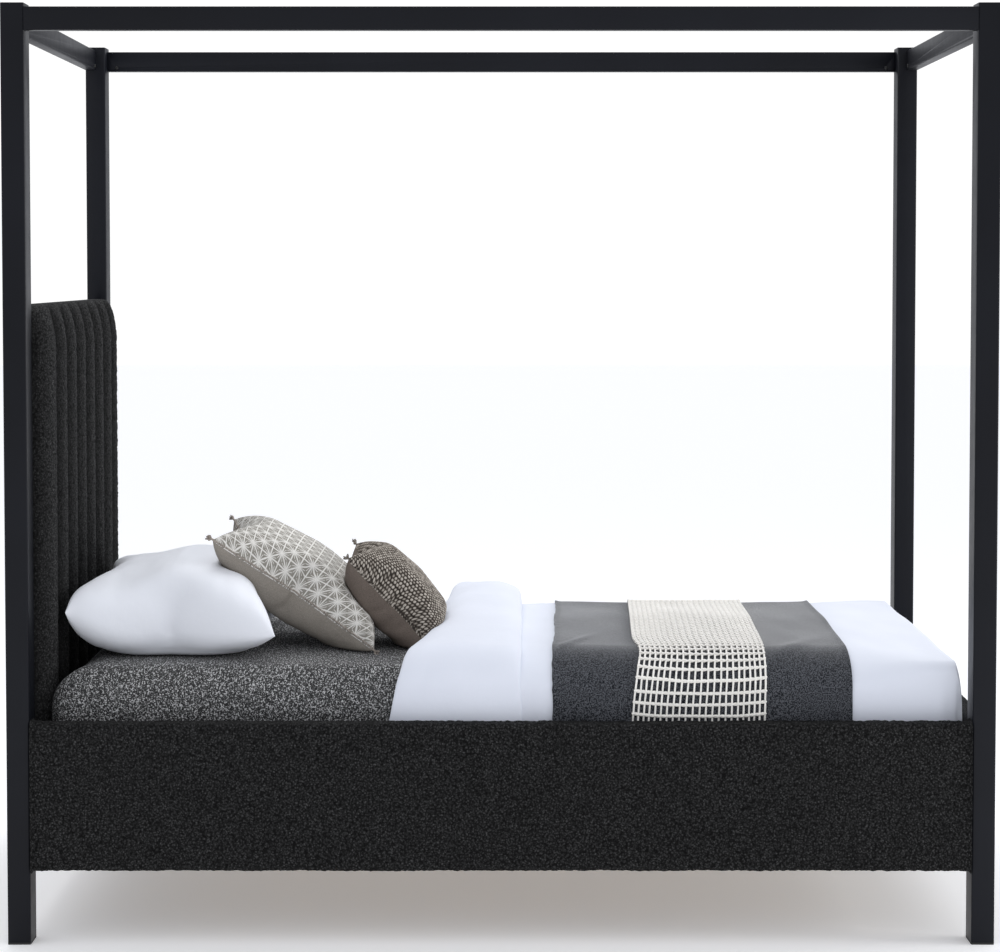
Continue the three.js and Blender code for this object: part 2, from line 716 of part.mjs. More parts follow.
// The duvet covers the lower bed and hangs down at both sides and at the foot.
function buildDuvet() {
  const over = bar(
    sectionOf(coverArch(0, BEDDING_HEM)),
    "x",
    foldCrease(foldHalf),
    MATTRESS_FOOT + DUVET_THICK,
  );
  const top = FOLD_TOP;
  const footRound = quarterRound(MATTRESS_FOOT + DUVET_THICK, top, COVER_SHOULDER, 5);
  const footProfile = [[0, top], [0, BEDDING_HEM], [footRound[0][0], BEDDING_HEM], ...footRound];
  const foot = bar(sectionOf(footProfile), "y", -HALF_WIDTH, HALF_WIDTH);
  const head = box([-HALF_LENGTH, -HALF_WIDTH, BEDDING_HEM], [1, HALF_WIDTH, top]);
  const room = buildMattress(COVER_CLEARANCE);
  return over.intersect(foot.add(head)).add(fold).subtract(room);
}

const fold = buildFold();
const blanketOffset = COVER_CLEARANCE;
const throwOffset = blanketOffset + BLANKET_THICK + COVER_CLEARANCE;
addPiece("duvet", buildDuvet(), whiteCotton);
addPiece(
  "blanket",
  buildCover(blanketOffset, BLANKET_THICK, BEDDING_HEM + BLANKET_HEM_RISE, BLANKET_FROM, BLANKET_TO),
  greyFelt,
);
addPiece(
  "throw",
  buildCover(throwOffset, THROW_THICK, BEDDING_HEM + THROW_HEM_RISE, THROW_FROM, THROW_TO),
  creamKnit,
);

// ---- Pillow and cushions ----
// A crowned cushion in its own frame: sides along X and Y that pull in between the corners,
// and a crown of the given height above and below the seam.
function crownedCushion({ half: [halfX, halfY], crown, pullIn, puff }) {
  const steps = 10;
  const side = steps + 1;
  const positions = [];
  const index = [];
  const height = (u, v) => {
    const falloff = (1 - Math.abs(u) ** 2.4) * (1 - Math.abs(v) ** 2.4);
    return crown * Math.max(0, falloff) ** puff;
  };
  for (const face of [1, -1]) {
    const start = positions.length / 3;
    for (let i = 0; i < side; i++) {
      for (let j = 0; j < side; j++) {
        const u = (2 * i) / steps - 1;
        const v = (2 * j) / steps - 1;
        const x = halfX * u * (1 - pullIn * (1 - v * v) * u * u);
        const y = halfY * v * (1 - pullIn * (1 - u * u) * v * v);
        positions.push(x, y, face * height(u, v));
      }
    }
    for (let i = 0; i < steps; i++) {
      for (let j = 0; j < steps; j++) {
        const a = start + i * side + j;
        const [b, c, d] = [a + side, a + side + 1, a + 1];
        if (face > 0) index.push(a, b, c, a, c, d);
        else index.push(a, c, b, a, d, c);
      }
    }
  }
  const geometry = new THREE.BufferGeometry();
  geometry.setAttribute("position", new THREE.Float32BufferAttribute(positions, 3));
  geometry.setIndex(index);
  return solidOf(geometry);
}

const pillow = crownedCushion(PILLOW).translate(PILLOW_CENTRE);
const printedCushion = crownedCushion(PRINTED)
  .rotate([0, PRINTED_TILT, 0])
  .translate(PRINTED_CENTRE);
const wovenCushion = crownedCushion(WOVEN).rotate([0, WOVEN_TILT, 0]).translate(WOVEN_CENTRE);

// Each cushion is flat where it lies on the mattress, and hollowed where the next lies on it.
const aboveMattress = box(
  [HEADBOARD_FRONT + 2, -HALF_WIDTH, MATTRESS_TOP + GAP],
  [HALF_LENGTH, HALF_WIDTH, HEADBOARD_TOP],
);
const printedClear = printedCushion.translate([-1, 0, -1]).add(printedCushion);
const wovenClear = wovenCushion.translate([-1, 0, -1]).add(wovenCushion);
const foldClear = fold.translate([-1, 0, 1]);

addPiece(
  "pillow",
  pillow.intersect(aboveMattress).subtract(printedClear),
  whiteCotton,
);
addPiece(
  "printed_cushion",
  printedCushion.intersect(aboveMattress).subtract(wovenClear),
  printedCotton,
);
addPiece(
  "woven_cushion",
  wovenCushion.intersect(aboveMattress).subtract(foldClear),
  chunkyWeave,
);

export default bed;
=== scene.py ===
"""Twin four poster canopy bed: upholstery, bedding, small hardware and materials around the
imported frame. X runs from the head (-) to the foot (+), Y from the left side (-) to the right (+),
Z is up. Metres throughout; MM turns the millimetres that follow into metres."""
import itertools
import json
import math

import bmesh
import bpy
import numpy as np
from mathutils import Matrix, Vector
from mathutils.bvhtree import BVHTree


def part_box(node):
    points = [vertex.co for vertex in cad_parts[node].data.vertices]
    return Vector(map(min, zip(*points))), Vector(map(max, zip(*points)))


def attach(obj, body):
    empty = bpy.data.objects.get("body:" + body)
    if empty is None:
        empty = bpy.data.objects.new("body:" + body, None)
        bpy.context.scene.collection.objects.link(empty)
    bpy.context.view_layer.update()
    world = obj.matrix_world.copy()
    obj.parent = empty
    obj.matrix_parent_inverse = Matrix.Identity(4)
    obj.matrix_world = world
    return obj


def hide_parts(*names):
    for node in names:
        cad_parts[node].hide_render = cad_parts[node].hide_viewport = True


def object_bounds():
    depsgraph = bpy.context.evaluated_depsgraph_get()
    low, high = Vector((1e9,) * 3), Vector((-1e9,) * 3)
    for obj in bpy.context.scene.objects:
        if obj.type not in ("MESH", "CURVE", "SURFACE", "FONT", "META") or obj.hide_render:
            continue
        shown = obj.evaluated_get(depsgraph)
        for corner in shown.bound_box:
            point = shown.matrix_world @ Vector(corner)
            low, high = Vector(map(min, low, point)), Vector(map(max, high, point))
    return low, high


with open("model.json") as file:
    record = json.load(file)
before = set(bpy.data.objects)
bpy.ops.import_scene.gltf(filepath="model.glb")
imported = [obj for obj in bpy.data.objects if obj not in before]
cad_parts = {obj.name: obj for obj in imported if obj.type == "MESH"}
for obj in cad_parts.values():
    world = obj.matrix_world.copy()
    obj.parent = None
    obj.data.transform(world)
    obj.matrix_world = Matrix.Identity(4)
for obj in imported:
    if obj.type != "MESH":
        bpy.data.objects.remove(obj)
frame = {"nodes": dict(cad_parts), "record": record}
cad_low, cad_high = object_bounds()
nodes = frame["nodes"]
scene = bpy.context.scene
MM = 0.001
SHARP_ANGLE = math.radians(65)  # edges sharper than this aren't shaded smooth


# ---- Noise and mesh helpers ----
def hashed(cell, seed):
    """A repeatable number from 0 to 1 for each whole-number cell. Its large numbers only scatter
    the bits."""
    mixed = cell[..., 0] * 73856093 ^ cell[..., 1] * 19349663 ^ cell[..., 2] * 83492791
    mixed = mixed ^ (seed * 40503 + 977)
    mixed = (mixed ^ (mixed >> 13)) * 1274126177
    mixed = mixed ^ (mixed >> 16)
    return (mixed & 0xFFFFFF) / 0xFFFFFF


def waves(points, size, seed=0):
    """Smooth noise from -1 to 1 with lumps of about that size."""
    p = points / size
    cell = np.floor(p).astype(np.int64)
    f = p - cell
    f = f * f * (3 - 2 * f)
    total = np.zeros(len(points))
    for corner in itertools.product((0, 1), repeat=3):
        weight = np.prod(np.where(corner, f, 1 - f), axis=1)
        total += weight * (2 * hashed(cell + np.array(corner), seed) - 1)
    return total


def loops(points, size, seed=0):
    """Height from 0 to 1 of round loops of about that size, packed at random."""
    p = points / size
    cell = np.floor(p).astype(np.int64)
    nearest = np.full(len(points), 9.0)
    for corner in itertools.product((-1, 0, 1), repeat=3):
        near = cell + np.array(corner)
        centre = near + np.stack([hashed(near, seed + k) for k in range(3)], axis=1)
        nearest = np.minimum(nearest, ((centre - p) ** 2).sum(axis=1))
    return np.clip(1 - np.sqrt(nearest), 0, 1)


def smooth_step(value):
    t = np.clip(value, 0, 1)
    return t * t * (3 - 2 * t)


def columns(*values):
    """Points from separate coordinates, spread over each other's shapes."""
    return np.stack([v.ravel() for v in np.broadcast_arrays(*values)], axis=1)


def unit(vectors):
    """Vectors scaled to a length of 1."""
    return vectors / (np.linalg.norm(vectors, axis=-1, keepdims=True) + 1e-12)


def lift_off(points, normals, height):
    """Points moved along their normals, each by its own height."""
    return points + normals * height[:, None]


def grid_faces(rows, count, start=0, closed=False):
    """Quads over rows of points, each row joined to the next; closed joins a row's ends."""
    i = np.arange(rows - 1)[:, None]
    j = np.arange(count if closed else count - 1)[None, :]
    k = (j + 1) % count
    quads = np.stack([i * count + j, i * count + k, (i + 1) * count + k, (i + 1) * count + j], -1)
    return (quads.reshape(-1, 4) + start).tolist()


def rim_of(rows, count):
    """The points round the edge of a grid of rows, in order."""
    last = (rows - 1) * count
    rim = list(range(count)) + [i * count + count - 1 for i in range(1, rows)]
    rim += range(last + count - 2, last - 1, -1)
    return rim + [i * count for i in range(rows - 2, 0, -1)]


def tube_faces(rows, count, start=0):
    """Quads between closed rings, with a cap on the first and last ring."""
    first = list(range(start + count - 1, start - 1, -1))
    last = list(range(start + (rows - 1) * count, start + rows * count))
    return grid_faces(rows, count, start, closed=True) + [first, last]


def add_piece(name, points, faces, body, slot, finish=None, weld=0.0):
    """Makes a piece that rides on a body, in its slot's finish unless another is given."""
    mesh = bpy.data.meshes.new(name)
    mesh.from_pydata(np.asarray(points).tolist(), [], faces)
    if weld:
        bm = bmesh.new()
        bm.from_mesh(mesh)
        bmesh.ops.remove_doubles(bm, verts=bm.verts, dist=weld)
        bmesh.ops.recalc_face_normals(bm, faces=bm.faces)
        bm.to_mesh(mesh)
        bm.free()
    mesh.validate()
    mesh.shade_smooth()
    mesh.set_sharp_from_angle(angle=SHARP_ANGLE)
    mesh.materials.append(finish or FINISH[slot])
    piece = bpy.data.objects.new(name, mesh)
    scene.collection.objects.link(piece)
    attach(piece, body)
    return piece


def tubes(paths, radius, sides):
    """Points and faces of a round tube along each path, in one mesh."""
    all_points, faces, start = [], [], 0
    angle = (2 * np.pi * np.arange(sides) / sides)[:, None]
    aside = [0.31, 0.52, 0.79]  # a direction that no tube follows
    for path in paths:
        along = unit(np.gradient(path, axis=0))
        across = unit(np.cross(along, aside))
        other = np.cross(along, across)
        ring = across[:, None] * np.cos(angle) + other[:, None] * np.sin(angle)
        all_points.append((path[:, None] + radius * ring).reshape(-1, 3))
        faces += tube_faces(len(path), sides, start)
        start += len(path) * sides
    return np.concatenate(all_points), faces


# ---- Camera and light ----
def build_camera():
    """Level with the canopy's lower part, a little above the bed, looking straight at its side."""
    data = bpy.data.cameras.new("camera")
    camera = bpy.data.objects.new("camera", data)
    scene.collection.objects.link(camera)
    data.sensor_width = 36
    data.lens = 89.3
    data.shift_x, data.shift_y = -0.0033, -0.100
    camera.location = (0.0047, cad_low.y - 5.073, 1.3987)
    camera.rotation_euler = (math.radians(87.5), 0, 0)
    scene.camera = camera


def add_area(name, location, target, size, energy):
    data = bpy.data.lights.new(name, "AREA")
    data.shape = "RECTANGLE"
    data.size, data.size_y = size
    data.energy = energy
    light = bpy.data.objects.new(name, data)
    light.location = location
    aim = Vector(target) - Vector(location)
    light.rotation_euler = aim.to_track_quat("-Z", "Y").to_euler()
    scene.collection.objects.link(light)


def build_light():
    """Soft light from all round, white to the camera, and two softboxes."""
    world = bpy.data.worlds.new("studio")
    scene.world = world
    world.use_nodes = True
    tree = world.node_tree
    background = tree.nodes["Background"]
    background.inputs["Color"].default_value = (0.93, 0.95, 1.0, 1)
    background.inputs["Strength"].default_value = 0.85
    white = tree.nodes.new("ShaderNodeBackground")
    white.inputs["Color"].default_value = (1, 1, 1, 1)
    white.inputs["Strength"].default_value = 1.05
    rays = tree.nodes.new("ShaderNodeLightPath")
    mix = tree.nodes.new("ShaderNodeMixShader")
    tree.links.new(rays.outputs["Is Camera Ray"], mix.inputs[0])
    tree.links.new(background.outputs[0], mix.inputs[1])
    tree.links.new(white.outputs[0], mix.inputs[2])
    tree.links.new(mix.outputs[0], tree.nodes["World Output"].inputs["Surface"])
    add_area("top_softbox", (-0.5, 1.2, 3.9), (-0.2, 0.1, 0.4), (2.6, 2.0), 48)
    add_area("right_softbox", (4.4, -0.6, 1.3), (-1, 0, 0.9), (1.6, 1.8), 62)


def build_floor():
    size = 30.0
    corners = [(-size, -size, 0), (size, -size, 0), (size, size, 0), (-size, size, 0)]
    mesh = bpy.data.meshes.new("floor")
    mesh.from_pydata(corners, [], [(0, 1, 2, 3)])
    floor = bpy.data.objects.new("floor", mesh)
    scene.collection.objects.link(floor)
    material = bpy.data.materials.new("floor_paint")
    material.use_nodes = True
    shader = material.node_tree.nodes["Principled BSDF"]
    shader.inputs["Base Color"].default_value = (0.96, 0.96, 0.96, 1)
    shader.inputs["Roughness"].default_value = 0.8
    shader.inputs["Emission Color"].default_value = (0.98, 0.98, 1.0, 1)
    shader.inputs["Emission Strength"].default_value = 0.22
    floor.data.materials.append(material)


# ---- Materials ----
class Paint:
    """A material's node tree, with short calls for the nodes that the finishes share."""

    def __init__(self, name, roughness, **sockets):
        self.material = bpy.data.materials.new(name)
        self.material.use_nodes = True
        self.tree = self.material.node_tree
        self.shader = self.tree.nodes["Principled BSDF"]
        self.shader.inputs["Roughness"].default_value = roughness
        for socket, value in sockets.items():
            self.shader.inputs[socket.replace("_", " ")].default_value = value
        self.place = self.tree.nodes.new("ShaderNodeTexCoord").outputs["Object"]

    def node(self, kind, inputs=None, **settings):
        made = self.tree.nodes.new("ShaderNode" + kind)
        for key, value in settings.items():
            setattr(made, key, value)
        for key, value in (inputs or {}).items():
            if hasattr(value, "is_output"):
                self.tree.links.new(value, made.inputs[key])
            else:
                made.inputs[key].default_value = value
        return made

    def stretched(self, x, y, z):
        """Coordinates scaled along each axis."""
        inputs = {"Vector": self.place, "Scale": (x, y, z)}
        return self.node("Mapping", inputs).outputs["Vector"]

    def noise(self, size, detail=2.0, place=None):
        """Noise with lumps of that size in metres."""
        inputs = {"Vector": place or self.place, "Scale": 1 / size, "Detail": detail}
        return self.node("TexNoise", inputs).outputs["Fac"]

    def cells(self, size):
        """Distance to the nearest of points spread at that spacing in metres."""
        inputs = {"Vector": self.place, "Scale": 1 / size}
        return self.node("TexVoronoi", inputs).outputs["Distance"]

    def math(self, operation, a, b=0.0):
        return self.node("Math", {0: a, 1: b}, operation=operation).outputs[0]

    def add(self, a, b):
        return self.math("ADD", a, b)

    def minus(self, a, b):
        return self.math("SUBTRACT", a, b)

    def times(self, a, b):
        return self.math("MULTIPLY", a, b)

    def absolute(self, a):
        return self.math("ABSOLUTE", a)

    def least(self, *values):
        """The smallest of two or more values."""
        least = values[0]
        for value in values[1:]:
            least = self.math("MINIMUM", least, value)
        return least

    def ramp(self, factor, stops):
        """A colour ramp with stops of (place, colour)."""
        made = self.node("ValToRGB", {"Fac": factor})
        band = made.color_ramp
        while len(band.elements) < len(stops):
            band.elements.new(0.5)
        for element, (at, color) in zip(band.elements, stops):
            element.position = at
            element.color = (*color, 1)
        return made.outputs["Color"]

    def mix(self, factor, a, b):
        made = self.node("Mix", data_type="RGBA")
        for socket, value in ((made.inputs[0], factor), (made.inputs[6], a), (made.inputs[7], b)):
            if isinstance(value, tuple):
                socket.default_value = (*value, 1)
            elif isinstance(value, float):
                socket.default_value = value
            else:
                self.tree.links.new(value, socket)
        return made.outputs[2]

    def color(self, value):
        self.tree.links.new(value, self.shader.inputs["Base Color"])

    def roughness(self, factor, low, high):
        inputs = {"Value": factor, "To Min": low, "To Max": high}
        made = self.node("MapRange", inputs)
        self.tree.links.new(made.outputs[0], self.shader.inputs["Roughness"])

    def bump(self, height, distance, strength=1.0):
        inputs = {"Height": height, "Distance": distance, "Strength": strength}
        made = self.node("Bump", inputs)
        self.tree.links.new(made.outputs[0], self.shader.inputs["Normal"])


def grey(value):
    return (value, value, value)


def speckled(name, roughness, size, stops, bump_size=None, bump=(0.0004, 0.7), **sockets):
    """A finish of two tones mixed in lumps of that size, with a bump of its own size or the
    same."""
    paint = Paint(name, roughness, **sockets)
    tone = paint.noise(size, 3)
    paint.color(paint.ramp(tone, stops))
    paint.bump(paint.noise(bump_size, 2) if bump_size else tone, *bump)
    return paint.material


def frame_metal():
    paint = Paint("satin_black_powder_coat", 0.4, Specular_IOR_Level=0.17)
    cloud = paint.noise(0.4, 3)
    paint.color(paint.ramp(cloud, [(0.3, (0.004, 0.0045, 0.007)), (0.7, (0.007, 0.008, 0.012))]))
    peel = paint.noise(0.0018, 2)
    paint.roughness(paint.noise(0.03, 4), 0.36, 0.48)
    paint.bump(peel, 0.00008, 0.5)
    return paint.material


def foot_plastic():
    tones = [(0.3, grey(0.010)), (0.7, grey(0.016))]
    return speckled("black_moulded_plastic", 0.6, 0.01, tones, 0.0008, (0.0001, 0.6))


def screw_metal():
    paint = Paint("black_oxide_steel", 0.35, Metallic=0.8)
    paint.color(paint.ramp(paint.noise(0.002, 3), [(0.3, grey(0.02)), (0.7, grey(0.06))]))
    paint.roughness(paint.noise(0.0007, 2), 0.25, 0.5)
    return paint.material


def boucle(name, lift):
    """Looped charcoal yarn with paler flecks. Lift brightens all of it as painted light, and a
    point attribute mixes it towards near black as painted shade in the headboard's grooves.
    """
    paint = Paint(name, 0.95, Specular_IOR_Level=0.15)
    loop = paint.cells(0.0048)
    fleck = paint.noise(0.0028, 3)
    dark = [(0.15, grey(0.018 * lift)), (0.5, grey(0.008 * lift)), (0.8, grey(0.002))]
    dark = paint.ramp(loop, dark)
    light = paint.ramp(loop, [(0.2, grey(0.085 * lift)), (0.7, grey(0.015 * lift))])
    flecked = paint.mix(paint.ramp(fleck, [(0.48, grey(0.0)), (0.68, grey(0.8))]), dark, light)
    # Painted shade: this attribute, from 0 to 1, mixes the colour towards near black in the
    # headboard's grooves and over its walls and back.
    painted_groove_shade = paint.node("Attribute", attribute_name="painted_groove_shade").outputs["Fac"]
    paint.color(paint.mix(painted_groove_shade, flecked, (0.0012, 0.0012, 0.0012)))
    paint.bump(paint.minus(paint.noise(0.0018, 3), loop), 0.0010, 0.9)
    return paint.material


def plywood():
    paint = Paint("bare_plywood", 0.65)
    grain = paint.noise(0.012, 5, paint.stretched(0.12, 1, 1))
    paint.color(paint.ramp(grain, [(0.3, (0.36, 0.22, 0.11)), (0.7, (0.56, 0.39, 0.22))]))
    paint.roughness(grain, 0.55, 0.75)
    paint.bump(grain, 0.0002, 0.5)
    return paint.material


def pine():
    paint = Paint("planed_pine", 0.6)
    rings = paint.noise(0.009, 4, paint.stretched(1, 0.05, 1))
    broad = paint.noise(0.12, 2, paint.stretched(1, 0.2, 1))
    fine = paint.ramp(rings, [(0.35, (0.48, 0.31, 0.15)), (0.65, (0.66, 0.47, 0.27))])
    pale = paint.ramp(broad, [(0.3, (0.5, 0.34, 0.18)), (0.7, (0.7, 0.53, 0.33))])
    paint.color(paint.mix(0.5, fine, pale))
    paint.roughness(rings, 0.5, 0.7)
    paint.bump(rings, 0.00015, 0.5)
    return paint.material


def mattress_knit():
    """Flecked knit: short pale stitches in dark yarn."""
    paint = Paint("heathered_grey_knit", 0.92, Specular_IOR_Level=0.25, Sheen_Weight=0.08)
    stitch = paint.noise(0.0020, 2, paint.stretched(0.75, 0.22, 1.0))
    row = paint.noise(0.0034, 1, paint.stretched(1.0, 0.3, 0.6))
    heather = paint.noise(0.02, 3)
    mixed = paint.add(paint.times(stitch, 0.65), paint.times(row, 0.35))
    dark = [(0.42, grey(0.011)), (0.49, grey(0.034))]
    fleck = paint.ramp(mixed, dark + [(0.545, grey(0.15)), (0.60, grey(0.55))])
    paint.color(paint.mix(paint.times(heather, 0.25), fleck, grey(0.07)))
    paint.bump(mixed, 0.0010, 0.8)
    return paint.material


def white_cotton(name, low, high):
    paint = Paint(name, 0.8, Specular_IOR_Level=0.3, Sheen_Weight=0.15)
    paint.color(paint.ramp(paint.noise(0.25, 2), [(0.3, low), (0.7, high)]))
    weave, crumple = paint.noise(0.0012, 2), paint.noise(0.018, 3)
    paint.bump(paint.add(paint.times(weave, 0.15), crumple), 0.0012, 0.35)
    return paint.material


def blanket_felt():
    paint = Paint(
        "grey_wool_felt", 0.95, Specular_IOR_Level=0.2, Sheen_Weight=0.55, Sheen_Roughness=0.35
    )
    fibre = paint.noise(0.0024, 4)
    patch = paint.noise(0.03, 3)
    base = paint.ramp(fibre, [(0.43, (0.004, 0.005, 0.007)), (0.59, (0.110, 0.115, 0.128))])
    paint.color(paint.mix(paint.times(patch, 0.3), base, (0.032, 0.035, 0.042)))
    paint.bump(fibre, 0.0007, 0.7)
    return paint.material


def throw_yarn():
    tones = [(0.3, (0.82, 0.79, 0.73)), (0.65, (1.0, 0.98, 0.94))]
    return speckled(
        "cream_cotton_yarn", 0.85, 0.002, tones, bump=(0.0005, 0.7), Specular_IOR_Level=0.3
    )


def cushion_cloth(paint, front, back):
    """The front and the back of a cushion each in its own colour."""
    side = paint.math("GREATER_THAN", paint.node("SeparateXYZ", {0: panel_of(paint)}).outputs["Z"])
    paint.color(paint.mix(side, back, front))


def panel_of(paint):
    """The flat panel's own coordinates in metres, kept on the mesh: Z is its side."""
    return paint.node("Attribute", attribute_name="panel").outputs["Vector"]


def printed_cotton():
    """Cream lattice on beige-grey: square cells with both diagonals through every other crossing,
    and finer rays between them."""
    paint = Paint("printed_cotton", 0.88, Specular_IOR_Level=0.25)
    cell = 0.027
    scaled = paint.node("VectorMath", {0: panel_of(paint), "Scale": 1 / cell}, operation="SCALE")
    split = paint.node("SeparateXYZ", {0: scaled.outputs[0]})
    a, b = split.outputs["X"], split.outputs["Y"]

    def from_whole(value):
        """How far a number is from the nearest whole one, with its sign."""
        return paint.minus(paint.math("FRACT", paint.add(value, 0.5)), 0.5)

    u = from_whole(paint.times(paint.add(a, b), 0.5))
    v = from_whole(paint.times(paint.minus(a, b), 0.5))
    grid = [paint.absolute(from_whole(value)) for value in (a, b)]
    diagonals = [paint.times(paint.absolute(value), 1.41) for value in (u, v)]
    across, along = paint.add(u, v), paint.minus(u, v)
    rays = []
    for angle in (22.5, 67.5, -22.5, -67.5):
        sine, cosine = math.sin(math.radians(angle)), math.cos(math.radians(angle))
        apart = paint.minus(paint.times(across, sine), paint.times(along, cosine))
        rays.append(paint.absolute(apart))
    radius = paint.math("MAXIMUM", paint.absolute(across), paint.absolute(along))
    hollow = paint.absolute(paint.minus(radius, 0.42))
    thinner = paint.add(paint.least(*rays), 0.034)
    fine = paint.math("MAXIMUM", thinner, paint.minus(hollow, 0.17))
    drawn = paint.least(*grid, *diagonals, fine)
    uneven = paint.times(paint.minus(paint.noise(0.003, 2), 0.5), 0.035)
    ink = paint.ramp(paint.add(drawn, uneven), [(0.046, grey(1.0)), (0.076, grey(0.0))])
    thread = paint.noise(0.0016, 2)
    ground = paint.ramp(thread, [(0.3, (0.21, 0.20, 0.17)), (0.7, (0.34, 0.32, 0.285))])
    cream = paint.ramp(thread, [(0.3, (0.66, 0.64, 0.60)), (0.7, (0.84, 0.82, 0.78))])
    back = paint.ramp(thread, [(0.3, (0.23, 0.205, 0.175)), (0.7, (0.34, 0.31, 0.27))])
    cushion_cloth(paint, paint.mix(ink, ground, cream), back)
    paint.bump(paint.add(paint.times(ink, 0.6), thread), 0.0005, 0.5)
    return paint.material


def basket_weave():
    """Chunky cream and brown knots on the front with painted shade in the gaps between them, plain
    brown-grey cloth on the back.
    """
    paint = Paint("chunky_basket_weave", 0.95, Specular_IOR_Level=0.2)
    knot = paint.node("Attribute", attribute_name="knot").outputs["Fac"]
    thread = paint.noise(0.0016, 3)
    patch = paint.noise(0.011, 2)
    dark, middle, pale = (0.010, 0.008, 0.006), (0.16, 0.135, 0.11), (0.62, 0.57, 0.50)
    # The near-black stop of the knot ramp, where the knot value falls between the raised knots, is
    # painted shade in the gaps.
    knots = paint.ramp(knot, [(0.22, dark), (0.50, middle), (0.85, pale)])
    mottled = paint.mix(paint.times(patch, 0.55), knots, (0.13, 0.11, 0.095))
    back = paint.ramp(thread, [(0.3, (0.125, 0.10, 0.085)), (0.7, (0.20, 0.165, 0.14))])
    cushion_cloth(paint, mottled, back)
    paint.bump(thread, 0.0006, 0.6)
    return paint.material


def cushion_trim(name, low, high):
    tones = [(0.35, low), (0.65, high)]
    return speckled(name, 0.9, 0.003, tones, 0.001, Specular_IOR_Level=0.25)


build_camera()
build_light()
build_floor()
scene.view_settings.view_transform = "Standard"

FINISH = {
    "frame_metal": frame_metal(),
    "foot_plastic": foot_plastic(),
    "screw_metal": screw_metal(),
    "boucle": boucle("charcoal_boucle", 1.0),
    "plywood": plywood(),
    "slat_wood": pine(),
    "mattress_knit": mattress_knit(),
    "white_cotton": white_cotton("white_cotton", (0.76, 0.79, 0.87), (0.80, 0.83, 0.91)),
    "blanket_felt": blanket_felt(),
    "throw_knit": throw_yarn(),
    "cushion_print": printed_cotton(),
    "cushion_weave": basket_weave(),
}
# A copy of the rails' charcoal boucle, 1.6 times lighter, for the headboard rolls: painted light on
# the same cloth.
LIGHTER_CHANNEL_BOUCLE = boucle("channel_boucle_painted_lighter", 1.6)
# A brighter copy of the white cotton for the pillow case: painted light on the pillow's shaded top.
BRIGHTER_CASE_COTTON = white_cotton("pillow_cotton_painted_brighter", (0.86, 0.88, 0.93), (0.90, 0.92, 0.97))


# ---- Hard parts that keep their CAD shape ----
def finish_cad_nodes():
    """Gives every CAD node its slot's finish, smooth shading and a soft edge."""
    for row in frame["record"]["subparts"]:
        part = nodes[row["node"]]
        part.data.materials.clear()
        part.data.materials.append(FINISH[row["material_slot"]])
        part.data.shade_smooth()
        weld = part.modifiers.new("weld", "WELD")
        weld.merge_threshold = 0.00002
        bevel = part.modifiers.new("soft_edges", "BEVEL")
        bevel.width = 0.0006
        bevel.segments = 2
        bevel.limit_method = "ANGLE"
        bevel.angle_limit = math.radians(40)
        bevel.harden_normals = True


finish_cad_nodes()


# ---- Bracket bolts ----
BRACKET_PLATE = 3 * MM
# A button head's rings from its shank to its rim: radius and height over the plate, in millimetres.
BOLT_RINGS = [
    (3.9, -2.5), (3.9, 0.1), (7.0, 0.1), (7.0, 0.9), (6.4, 2.2), (5.2, 3.3), (3.6, 3.9), (3.1, 3.9),
]
SOCKET_HALF = 2.6  # of the hexagonal socket, across its flats
SOCKET_LEVELS = (3.7, 1.6)


def build_bolt(name, place, way):
    """A button-head bolt with a hexagonal socket, standing on a plate."""
    sides = 24
    turn = 2 * np.pi * np.arange(sides) / sides
    hexagon = SOCKET_HALF / np.cos(turn % (np.pi / 3) - np.pi / 6)
    rings = [(np.full(sides, radius), height) for radius, height in BOLT_RINGS]
    rings += [(hexagon, height) for height in SOCKET_LEVELS]
    way = np.array(way, float)
    across = np.roll(way, 1)
    circle = np.cos(turn)[:, None] * across + np.sin(turn)[:, None] * np.cross(way, across)
    points = [np.array(place) + MM * (h * way + r[:, None] * circle) for r, h in rings]
    faces = tube_faces(len(rings), sides)
    add_piece(name, np.concatenate(points), faces, "frame", "screw_metal", weld=0.001 * MM)


def build_bolts():
    """One bolt in each headboard bracket and two in each rail bracket, through their holes."""
    along_headboard, along_rail, from_edge = 27.9 * MM, 36 * MM, 35 * MM

    def pair(name, low, high, x, y, way):
        for level, z in (("lower", low.z + from_edge), ("upper", high.z - from_edge)):
            build_bolt(f"{name}_{level}", (x, y, z), way)

    for side_name, side in (("left", -1), ("right", 1)):
        for level in ("lower", "upper"):
            low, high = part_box(f"headboard_bracket_{side_name}_{level}")
            outer = high.y if side > 0 else low.y
            place = (high.x - BRACKET_PLATE, outer - side * along_headboard, (low.z + high.z) / 2)
            build_bolt(f"headboard_bolt_{side_name}_{level}", place, (-1, 0, 0))
        for end_name, end in (("head", -1), ("foot", 1)):
            low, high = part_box(f"rail_bracket_{end_name}_{side_name}")
            x = (high.x if end > 0 else low.x) - end * along_rail
            y = low.y if side > 0 else high.y
            pair(f"rail_bolt_{end_name}_{side_name}", low, high, x, y, (0, -side, 0))
        low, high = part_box(f"foot_rail_bracket_{side_name}")
        y = (high.y if side > 0 else low.y) - side * along_rail
        pair(f"foot_rail_bolt_{side_name}", low, high, low.x, y, (-1, 0, 0))


build_bolts()


# ---- Upholstered bed rails ----
def fuzzy(points, normals, weight, seed):
    """Boucle loops raised along the normals, as thick as the pile."""
    pile = 2.6 * MM * loops(points, 9 * MM, seed) + 1.2 * MM * waves(points, 5 * MM, seed + 7)
    return lift_off(points, normals, pile * weight)


